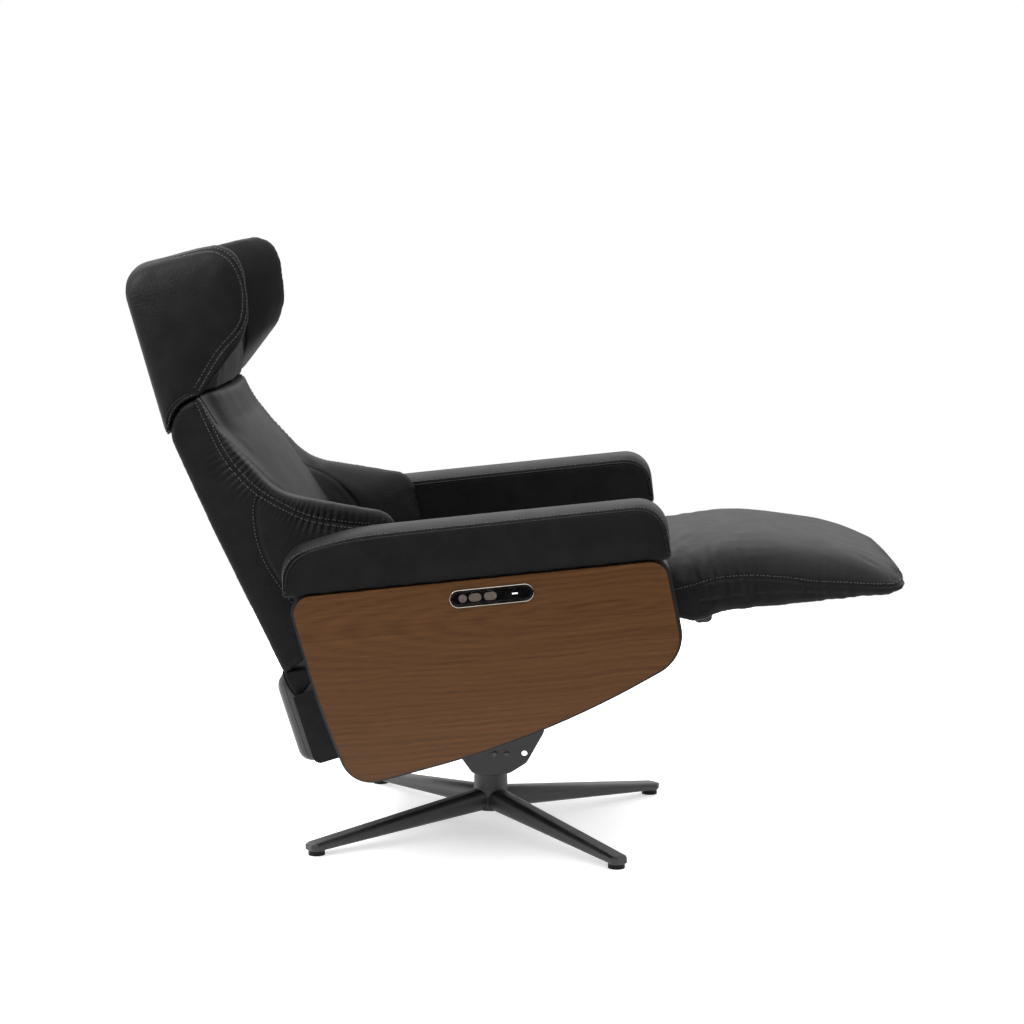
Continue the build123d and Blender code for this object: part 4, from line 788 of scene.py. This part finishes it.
def makeBackrest(look):
    mesh = remeshed("back_upholstery", loft("backLoft", "backrest", backStations(look)), look["voxel"])
    local = unplace("backrest", coordsOf(mesh))
    neckHeld = rising(local[:, 2], look["neck"][1] - look["neckFade"], look["neckFade"])
    relax(mesh, look["relax"], neckHeld)
    obj = asObject("back_upholstery", mesh)
    paths = seamsOn(bvhOf(mesh), "backrest", look, look["sewing"])
    local = unplace("backrest", coordsOf(mesh))
    flatRear = falling(local[:, 0], *look["flatRear"])
    flatFoot = falling(local[:, 2], *look["flatFoot"])  # the foot of the cover is stapled flat
    inflate(obj, look, [keepHeld(mesh, paths.values(), look["hold"]), neckHeld, flatRear, flatFoot])
    local, tight = unplace("backrest", coordsOf(mesh)), look["tight"]
    flat = falling(np.abs(local[:, 1]), *tight["side"]) * rising(local[:, 2], *tight["low"])
    flat *= falling(local[:, 2], *tight["high"]) * rising(local[:, 0], *tight["front"])
    iron(mesh, look["iron"], flat)  # the middle is drawn tight
    divided(obj, look["calm"])
    sewAll(obj, paths, look["sewing"])
    beside = look["threadBeside"]
    rows = []
    for side in sides:
        rows += [(paths["frontSeam", side], beside), (paths["frontSeam", side], -beside),
                 (paths["sideSeam", side], beside * side)]
    stitches("back_stitching", bvhOf(obj.data), rows, wideStitch, "backrest")
    for side in sides:
        carve(obj, "backrest", sided(look["slot"], side))  # room for the neck's hinge leaves
    upholster(obj, "backrest", ("back_cover", "back_cushion", "left_bolster", "right_bolster"),
              "backrest", look["cutEdge"])


makeBackrest(backrest)

# seat cushion: a crowned pad with a sewn border and a seam across behind its nose
seatPad = {
    "voxel": 6.0, "relax": 4, "pressure": 4.0, "cap": 6.0, "calm": 5, "hold": 6.0, "threadBeside": 4.4, "fill": 0.7,
    "straps": ((-190, 198), (146, 208)), "strapFade": 18.0, "lip": (198, 204), "noseSlope": 0.655, "noseHold": (14, 6),
    "noseFrom": 185.0, "flatSide": (246, 10, 0.9),
    "sewing": {"acrossSeam": (1.8, 2.6, 0.5, 11.0, 14.0), "sideSeam": (1.8, 2.6, 0.5, 11.0, 14.0)},
    "acrossSeam": [(185, -235, 276), (190, -120, 280), (192, 0, 282), (190, 120, 280), (185, 235, 276)],
    "sideSeam": [(-170, 240, 206), (-60, 240, 236), (60, 240, 258), (150, 240, 268), (230, 240, 262)],
}


def makeSeat(look):
    mesh = remeshed("seat_upholstery", nodes["seat_cushion"].data.copy(), look["voxel"])
    relax(mesh, look["relax"])
    obj = asObject("seat_upholstery", mesh)
    tree = bvhOf(mesh)
    paths = {("acrossSeam", 1): seamOn(tree, "seat", look["acrossSeam"])}
    paths.update(seamsOn(tree, "seat", look, ("sideSeam",)))
    x, y, z = unplace("seat", coordsOf(mesh)).T
    under = falling(z, np.interp(x, *look["straps"]), look["strapFade"])  # flat where it lies on the straps
    above = z - (look["lip"][1] + (x - look["lip"][0]) * look["noseSlope"])
    nose = falling(above, *look["noseHold"]) * (x > look["noseFrom"])  # room for the folded footrest
    flatSide = rising(np.abs(y), *look["flatSide"])
    inflate(obj, look, [keepHeld(mesh, paths.values(), look["hold"]), under, nose, flatSide])
    divided(obj, look["calm"])
    sewAll(obj, paths, look["sewing"])
    rows = [(line, look["threadBeside"]) for line in paths.values()]
    rows.append((paths["acrossSeam", 1], -look["threadBeside"]))
    stitches("seat_stitching", bvhOf(obj.data), rows, wideStitch, "seat")
    upholster(obj, "seat", ("seat_cushion",), "seat")


makeSeat(seatPad)

# arm pads: a crowned top strip, sewn to the sides over a cord
armPad = {
    "voxel": 4.5, "relax": 5, "pressure": 3.0, "cap": 6.0, "calm": 3, "hold": 5.0, "onCore": (280, 6),
    "besideBack": (292, 4), "threadBeside": 5.0, "cord": (-2.8, 1.6, 0.5), "fill": 0.85,
    "sewing": {"outerSeam": (3.4, 2.4), "innerSeam": (3.4, 2.4)},
    "outerSeam": [(-301, 394, 284), (-296, 394, 310), (-280, 393, 332), (-252, 392, 346), (-204, 392, 354),
                  (-109, 391, 357), (48, 391, 359), (204, 391, 361), (264, 391, 360), (292, 392, 348),
                  (305, 393, 319), (308, 394, 284)],
    "innerSeam": [(-301, 286, 284), (-296, 286, 310), (-280, 286, 330), (-252, 286, 343), (-204, 286, 351),
                  (-109, 286, 354), (48, 286, 356), (204, 286, 357), (264, 286, 356), (292, 286, 344),
                  (305, 286, 317), (308, 286, 284)],
}


def makeArm(look, side, name):
    mesh = remeshed(name + "_arm_upholstery", nodes[name + "_arm_pad"].data.copy(), look["voxel"])
    relax(mesh, look["relax"])
    obj = asObject(name + "_arm_upholstery", mesh)
    tree = bvhOf(mesh)
    paths = {(key, side): seamOn(tree, "seat", sided(look[key], side)) for key in look["sewing"]}
    local = unplace("seat", coordsOf(mesh))
    onCore = falling(local[:, 2], *look["onCore"])  # flat on the arm's core
    besideBack = falling(np.abs(local[:, 1]), *look["besideBack"])  # the inner side clears the back
    inflate(obj, look, [keepHeld(mesh, paths.values(), look["hold"]), onCore, besideBack])
    divided(obj, look["calm"])
    sewAll(obj, paths, look["sewing"])
    tree = bvhOf(obj.data)
    offset, radius, lift = look["cord"]
    for line, edge, inward in zip(paths.values(), ("outer", "inner"), (-side, side)):
        edgeName = name + "_arm_" + edge
        stitches(edgeName + "_stitching", tree, [(line, look["threadBeside"] * inward)], armStitch, "seat")
        welt(edgeName + "_cord", tree, line, offset * inward, radius, lift, "seat")
    upholster(obj, "seat", (name + "_arm_pad",), name + " arm")


for side, name in zip(sides, sideNames):
    makeArm(armPad, side, name)

# footrest: a plump top sewn to a plain border that wraps the board, slack and creased at its root
footrest = {
    "voxel": 5.5, "relax": 5, "pressure": 4.0, "cap": 7.0, "calm": 9, "besideHinge": 257.1,
    "folded": 88.0, "hinge": (280.7, 236.7), "lip": (198.0, 204.0), "noseSlope": 0.655, "clearance": 2.2,
    "mostMove": 12.0, "lipFade": (34, 12), "lipTop": 6.0, "noseRun": (4, 58), "hold": 6.0, "board": (-67, 0.113, 8),
    "plates": (78, 12), "platesSide": (240, 6), "tuck": (44, 10), "tuckTop": (22, 8), "threadBeside": 4.0,
    "widerFrom": (66, 24), "widerOver": 34.0, "wider": 9.0, "cutEdge": 60.0, "fill": 0.7,
    "sewing": {"tipSeam": (2.8, 2.8, 2.6, 12.0, 26.0), "topSeam": (2.8, 2.8, 2.6, 12.0, 26.0),
               "lowSeam": (1.6, 2.6, 1.8, 21.0, 16.0)},
    "folds": [((20, 250, -30), 0.12, 4.2, (42, 26, 9), 3), ((90, 215, 0), 0.17, 3.2, (34, 9, 9), 7)],
    "pocket": [(x, y, z) for x in (44, 140) for y in (-9, 9) for z in (-110, -29)],
    "centre": [(32, -75), (55, -73), (80, -71), (110, -68), (376, -37), (410, -27), (416, -13), (338, 27), (160, 52),
               (2, 30), (2, -26)],
    "edge": [(33, -75), (60, -86), (78, -87), (110, -67), (384, -41), (400, -32), (403, -25), (330, -23), (165, -10),
             (2, -34), (3, -46)],
    "centreRadii": [6, 20, 20, 20, 8, 6, 8, 240, 330, 12, 16], "edgeRadii": [6, 10, 14, 20, 6, 3, 3, 200, 330, 8, 6],
    "knots": [(0, 0), (90, 0.015), (150, 0.06), (195, 0.15), (222, 0.28), (240, 0.48), (250, 0.7), (255, 0.88),
              (257.6, 1.0)],
    "topSeam": [(14, 259, -42), (30, 259, -37), (59, 259, -29), (99, 259, -16), (139, 259, -12), (172, 259, -12),
                (220, 259, -15), (252, 259, -20), (316, 259, -23), (370, 258, -25), (394, 252, -25)],
    "lowSeam": [(22, 258, -60), (75, 258, -52), (140, 257, -42), (236, 256, -38), (349, 255, -41)],
    "tipSeam": [(394, 252, -25), (406, 225, -20), (409, 150, -18), (409, 0, -18), (409, -150, -18),
                (406, -225, -20), (394, -252, -25)],
}


def clearOfSeat(look, local):  # moves that keep the root off the seat's lip and nose when folded, in millimetres
    c, s = math.cos(math.radians(look["folded"])), math.sin(math.radians(look["folded"]))
    x = look["hinge"][0] + c * local[:, 0] + s * local[:, 2]
    z = look["hinge"][1] - s * local[:, 0] + c * local[:, 2]
    lipX, lipZ = look["lip"]
    fadeDepth, fadeWidth = look["lipFade"]
    move = np.zeros_like(local)
    beside = rising(z, lipZ - fadeDepth, fadeWidth) * (z < lipZ + look["lipTop"])
    move[:, 2] = np.clip(lipX + look["clearance"] - x, 0, look["mostMove"]) * beside
    into = z - lipZ - look["noseSlope"] * (x - lipX) + look["clearance"]
    behind, ahead = look["noseRun"]
    move[:, 0] = np.clip(into, 0, look["mostMove"]) * (x > lipX - behind) * (x < lipX + ahead)
    return move


def makeFootrest(look):
    stations = []
    for y, share in mirrored(look["knots"]):
        corners = mixed(look["centre"], look["edge"], share)
        radii = [a + (b - a) * share for a, b in zip(look["centreRadii"], look["edgeRadii"])]
        stations.append((y, rounded(corners, radii)))
    mesh = remeshed("footrest_upholstery", loft("footLoft", "footrest", stations), look["voxel"])
    relax(mesh, look["relax"])
    obj = asObject("footrest_upholstery", mesh)
    tree = bvhOf(mesh)
    paths = {("tipSeam", 1): seamOn(tree, "footrest", look["tipSeam"])}
    paths.update(seamsOn(tree, "footrest", look, ("topSeam", "lowSeam")))
    x, y, z = unplace("footrest", coordsOf(mesh)).T
    firm = [path for (key, side), path in paths.items() if key != "lowSeam"]
    boardZ, boardSlope, boardFade = look["board"]
    under = falling(z, boardZ + boardSlope * x, boardFade)  # flat on the board
    root = falling(x, *look["plates"]) * rising(np.abs(y), *look["platesSide"])  # no swelling beside the hinge plates
    tuck = falling(x, *look["tuck"]) * falling(z, *look["tuckTop"])  # nor where the root tucks under the seat
    inflate(obj, look, [keepHeld(mesh, firm, look["hold"]), under, root, tuck])
    divided(obj, look["calm"])
    sewAll(obj, paths, look["sewing"])
    points, normals = coordsOf(obj.data), normalsOf(obj.data)
    for side in sides:
        for (x, y, z), reach, amount, stretch, seed in look["folds"]:
            points = creases(points, normals, place("footrest", x, side * y, z), reach, amount, stretch, seed + side)
    local = unplace("footrest", points)
    near, diagonal = look["widerFrom"]
    ahead = local[:, 0] - np.maximum(near, diagonal - local[:, 2])
    limit = (look["besideHinge"] + look["wider"] * np.clip(ahead / look["widerOver"], 0, 1)) / 1000
    points[:, 1] = np.clip(points[:, 1], -limit, limit)  # room for the hinge plates
    points += clearOfSeat(look, local) / 1000
    setCoords(obj.data, points)
    beside = look["threadBeside"]
    rows = [(paths["topSeam", side], -beside * side) for side in sides] + [(paths["tipSeam", 1], -beside)]
    stitches("footrest_stitching", bvhOf(obj.data), rows, wideStitch, "footrest")
    carve(obj, "footrest", look["pocket"])  # an open slot where the drive's eye swings
    upholster(obj, "footrest", ("footrest_cushion", "footrest_board"), "footrest", look["cutEdge"])


makeFootrest(footrest)

# rear boot: slack black leather between the foot of the back and the apron, which closes the hinge gap
rearBoot = {"inner": 12.0, "outer": 60.5, "thick": 1.6, "side": 268.0, "start": 184.0, "end": 236.0, "sag": 2.0,
            "bendFrom": 192.0, "bendTo": 226.0, "steps": 14, "cheekSteps": 6, "acrossSteps": 24}


def makeRearBoot(look):
    hinge = bodyFrame["backrest"][0]

    def spot(radius, degrees, y):
        turn = math.radians(degrees)
        return Vector((hinge[0] + radius * math.cos(turn) / 1000, y / 1000, hinge[2] + radius * math.sin(turn) / 1000))

    def panel(made, grid):  # a closed panel between two layers of points
        front = [[made.verts.new(near) for near, far in row] for row in grid]
        back = [[made.verts.new(far) for near, far in row] for row in grid]
        for i in range(len(grid) - 1):
            for j in range(len(grid[0]) - 1):
                made.faces.new((front[i][j], front[i + 1][j], front[i + 1][j + 1], front[i][j + 1]))
                made.faces.new((back[i][j], back[i][j + 1], back[i + 1][j + 1], back[i + 1][j]))
        rim = [(i, 0) for i in range(len(grid))] + [(len(grid) - 1, j) for j in range(1, len(grid[0]))]
        rim += [(i, len(grid[0]) - 1) for i in range(len(grid) - 2, -1, -1)]
        rim += [(0, j) for j in range(len(grid[0]) - 2, 0, -1)]
        for (i, j), (m, n) in zip(rim, rim[1:] + rim[:1]):
            made.faces.new((front[i][j], back[i][j], back[m][n], front[m][n]))

    made = bmesh.new()
    turns = [look["start"] + (look["end"] - look["start"]) * k / look["steps"] for k in range(look["steps"] + 1)]
    for side in sides:
        y = side * look["side"]
        cheek = look["cheekSteps"]
        radii = [look["inner"] + (look["outer"] - look["inner"]) * k / cheek for k in range(cheek + 1)]
        panel(made, [[(spot(r, turn, y), spot(r, turn, y - side * look["thick"])) for r in radii] for turn in turns])
    across = [look["side"] * (2 * k / look["acrossSteps"] - 1) for k in range(look["acrossSteps"] + 1)]
    rows = []
    for k, turn in enumerate(turns):
        r = look["outer"] - look["sag"] * math.sin(math.pi * k / look["steps"])
        rows.append([(spot(r, turn, y), spot(r - look["thick"], turn, y)) for y in across])
    panel(made, rows)
    bmesh.ops.recalc_face_normals(made, faces=made.faces)
    mesh = bpy.data.meshes.new("rear_boot")
    made.to_mesh(mesh)
    made.free()
    finishMesh(mesh, leather)
    boot = asObject("rear_boot", mesh)
    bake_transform(boot)
    print("rear boot:", len(mesh.vertices), "points")


makeRearBoot(rearBoot)

# battery: a plump moulded case in two halves, with a parting line and openings for its button and charging socket
battery = {"centre": (-336, 0, 12), "lean": 17.4, "thick": 54.0, "height": 162.0, "half": 62.0, "corner": 26.0,
           "edge": 21.0, "leastCorner": 4.0, "steps": 9, "split": -12.0, "gap": 0.7,
           "openings": ((-28.0, 6.0), (-48.0, 5.4)), "openingDepth": 12.0, "openingSides": 48, "overshoot": 3.0,
           "cutEdge": 40.0}


def makeBattery(look):
    bodyFrame["battery"] = (place("seat", *look["centre"]), look["lean"])
    deep, high = look["thick"] / 2, look["height"] / 2
    knots = []
    for k in range(look["steps"] + 1):
        turn = math.pi / 2 * k / look["steps"]
        inset = look["edge"] * (1 - math.cos(turn))
        corners = [(inset - deep, inset - high), (deep - inset, inset - high), (deep - inset, high - inset),
                   (inset - deep, high - inset)]
        radius = max(look["corner"] - inset, look["leastCorner"])
        knots.append((look["half"] - look["edge"] * (1 - math.sin(turn)), rounded(corners, [radius] * 4)))
    mesh = loft("batteryLoft", "battery", mirrored(knots))
    origin = place("battery", 0, 0, 0)
    ahead = (place("battery", 1, 0, 0) - origin).normalized()
    for name, side in (("rear", -1), ("front", 1)):
        made = bmesh.new()
        made.from_mesh(mesh)
        bmesh.ops.bisect_plane(made, geom=made.verts[:] + made.edges[:] + made.faces[:],
                               plane_co=origin + ahead * (look["split"] + side * look["gap"] / 2) / 1000,
                               plane_no=ahead * side, clear_inner=True)
        bmesh.ops.holes_fill(made, edges=[edge for edge in made.edges if edge.is_boundary])
        half = bpy.data.meshes.new("battery_" + name + "_shell")
        made.to_mesh(half)
        made.free()
        obj = asObject("battery_" + name + "_shell", half)
        if side < 0:
            for up, radius in look["openings"]:
                turns = [k * 2 * math.pi / look["openingSides"] for k in range(look["openingSides"])]
                ends = (-deep - look["overshoot"], look["openingDepth"] - deep)
                carve(obj, "battery", [(x, radius * math.cos(turn), up + radius * math.sin(turn))
                                       for x in ends for turn in turns])
        finishMesh(obj.data, satinCase)
        obj.data.set_sharp_from_angle(angle=math.radians(look["cutEdge"]))
        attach(obj, "seat")
        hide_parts("battery_" + name + "_case")
    print("battery case:", len(mesh.vertices), "points")


makeBattery(battery)

# stage: a white floor, a pale sweep of soft light from above and behind, and the camera
stage = {"floor": 30.0, "floorDrop": 0.0004, "front": -1.4, "back": 2.2, "glow": 0.4,
         "sweepOver": (-0.2, 0.9), "skyFront": 0.1, "skyBack": 2.0, "topOver": (0.08, 0.6), "skyTop": 2.3,
         "dimOver": (-0.05, 0.45), "dim": (0.12, 1.0), "rearOver": (-0.45, -0.9), "skyRear": 1.7,
         "sun": 1.2, "sunAngle": 60.0, "sunTurn": (-16.0, -28.0, 0.0),
         "keyPlace": (-1.8, -1.4, 1.85), "keyAim": (-0.65, -0.28, 1.02), "keyPower": 270.0, "keyCone": 25.0,
         "keySize": 0.35,
         "lens": 87.81, "sensor": 36.0, "cameraPlace": (0.1073, -4.2388, 1.1169), "cameraTurn": (82.321, 0.0, 0.951)}
sweepPaint = (("#f4f4f4", "#f8f8f8"), 900.0, (0.7, 0.8), 3.0, (0.02, 0.0002))  # matt emulsion, no gloss to speak of


def put(name, data, spot, turn):  # a light or camera in the scene, turned by degrees
    obj = bpy.data.objects.new(name, data)
    obj.location = spot
    obj.rotation_euler = [math.radians(angle) for angle in turn]
    scene.collection.objects.link(obj)
    return obj


def makeStage(look):
    made = bmesh.new()
    corners = ((-1, look["front"]), (1, look["front"]), (1, look["back"]), (-1, look["back"]))
    made.faces.new([made.verts.new((x * look["floor"], y, 0)) for x, y in corners])
    mesh = bpy.data.meshes.new("studioFloor")
    made.to_mesh(mesh)
    made.free()
    paint = makeSolid("mattWhiteSweep", {"Specular IOR Level": 0.2, "Emission Color": linear("#ffffff"),
                                         "Emission Strength": look["glow"]}, *sweepPaint)
    mesh.materials.append(paint)
    floor = asObject("studioFloor", mesh)
    floor.location.z = -look["floorDrop"]
    world = bpy.data.worlds.new("studioSweep")
    world.use_nodes = True
    tree = world.node_tree
    background = tree.nodes["Background"]
    direction = addNode(tree, "TexCoord").outputs["Generated"]
    split = addNode(tree, "SeparateXYZ", {}, {0: direction})
    depth = addNode(tree, "MapRange", mapFrom(*look["sweepOver"], look["skyFront"], look["skyBack"]),
                    {"Value": split.outputs["Y"]})
    height = addNode(tree, "MapRange", mapFrom(*look["topOver"], 0.0, look["skyTop"]), {"Value": split.outputs["Z"]})
    dim = addNode(tree, "MapRange", mapFrom(*look["dimOver"], *look["dim"]),
                  {"Value": split.outputs["Z"]})  # the sweep is dimmer near the floor
    sweep = addNode(tree, "Math", {"operation": "MULTIPLY"}, {0: depth.outputs["Result"], 1: dim.outputs["Result"]})
    rear = addNode(tree, "MapRange", mapFrom(*look["rearOver"], 0.0, look["skyRear"]),
                   {"Value": split.outputs["X"]})  # a tall softbox behind the chair
    above = addNode(tree, "Math", {"operation": "MAXIMUM"}, {0: rear.outputs["Result"], 1: height.outputs["Result"]})
    light = addNode(tree, "Math", {"operation": "MAXIMUM"}, {0: sweep.outputs["Value"], 1: above.outputs["Value"]})
    seen = addNode(tree, "LightPath").outputs["Is Camera Ray"]
    shown = addNode(tree, "Math", {"operation": "MAXIMUM"}, {0: light.outputs["Value"], 1: seen})
    tree.links.new(shown.outputs["Value"], background.inputs["Strength"])
    background.inputs["Color"].default_value = linear("#ffffff")
    scene.world = world
    lamp = bpy.data.lights.new("overheadSoftbox", "SUN")
    lamp.energy = look["sun"]
    lamp.angle = math.radians(look["sunAngle"])
    put("overheadSoftbox", lamp, (0, 0, 0), look["sunTurn"])
    keyData = bpy.data.lights.new("headSoftbox", "SPOT")  # a soft pool of light on the headrest's rear corner
    keyData.energy = look["keyPower"]
    keyData.spot_size = math.radians(look["keyCone"])
    keyData.spot_blend = 1.0
    keyData.shadow_soft_size = look["keySize"]
    key = put("headSoftbox", keyData, look["keyPlace"], (0, 0, 0))
    key.rotation_euler = (Vector(look["keyAim"]) - key.location).to_track_quat("-Z", "Y").to_euler()
    cameraData = bpy.data.cameras.new("studioCamera")
    cameraData.lens = look["lens"]
    cameraData.sensor_width = look["sensor"]
    scene.camera = put("studioCamera", cameraData, look["cameraPlace"], look["cameraTurn"])
    print("stage set")


makeStage(stage)
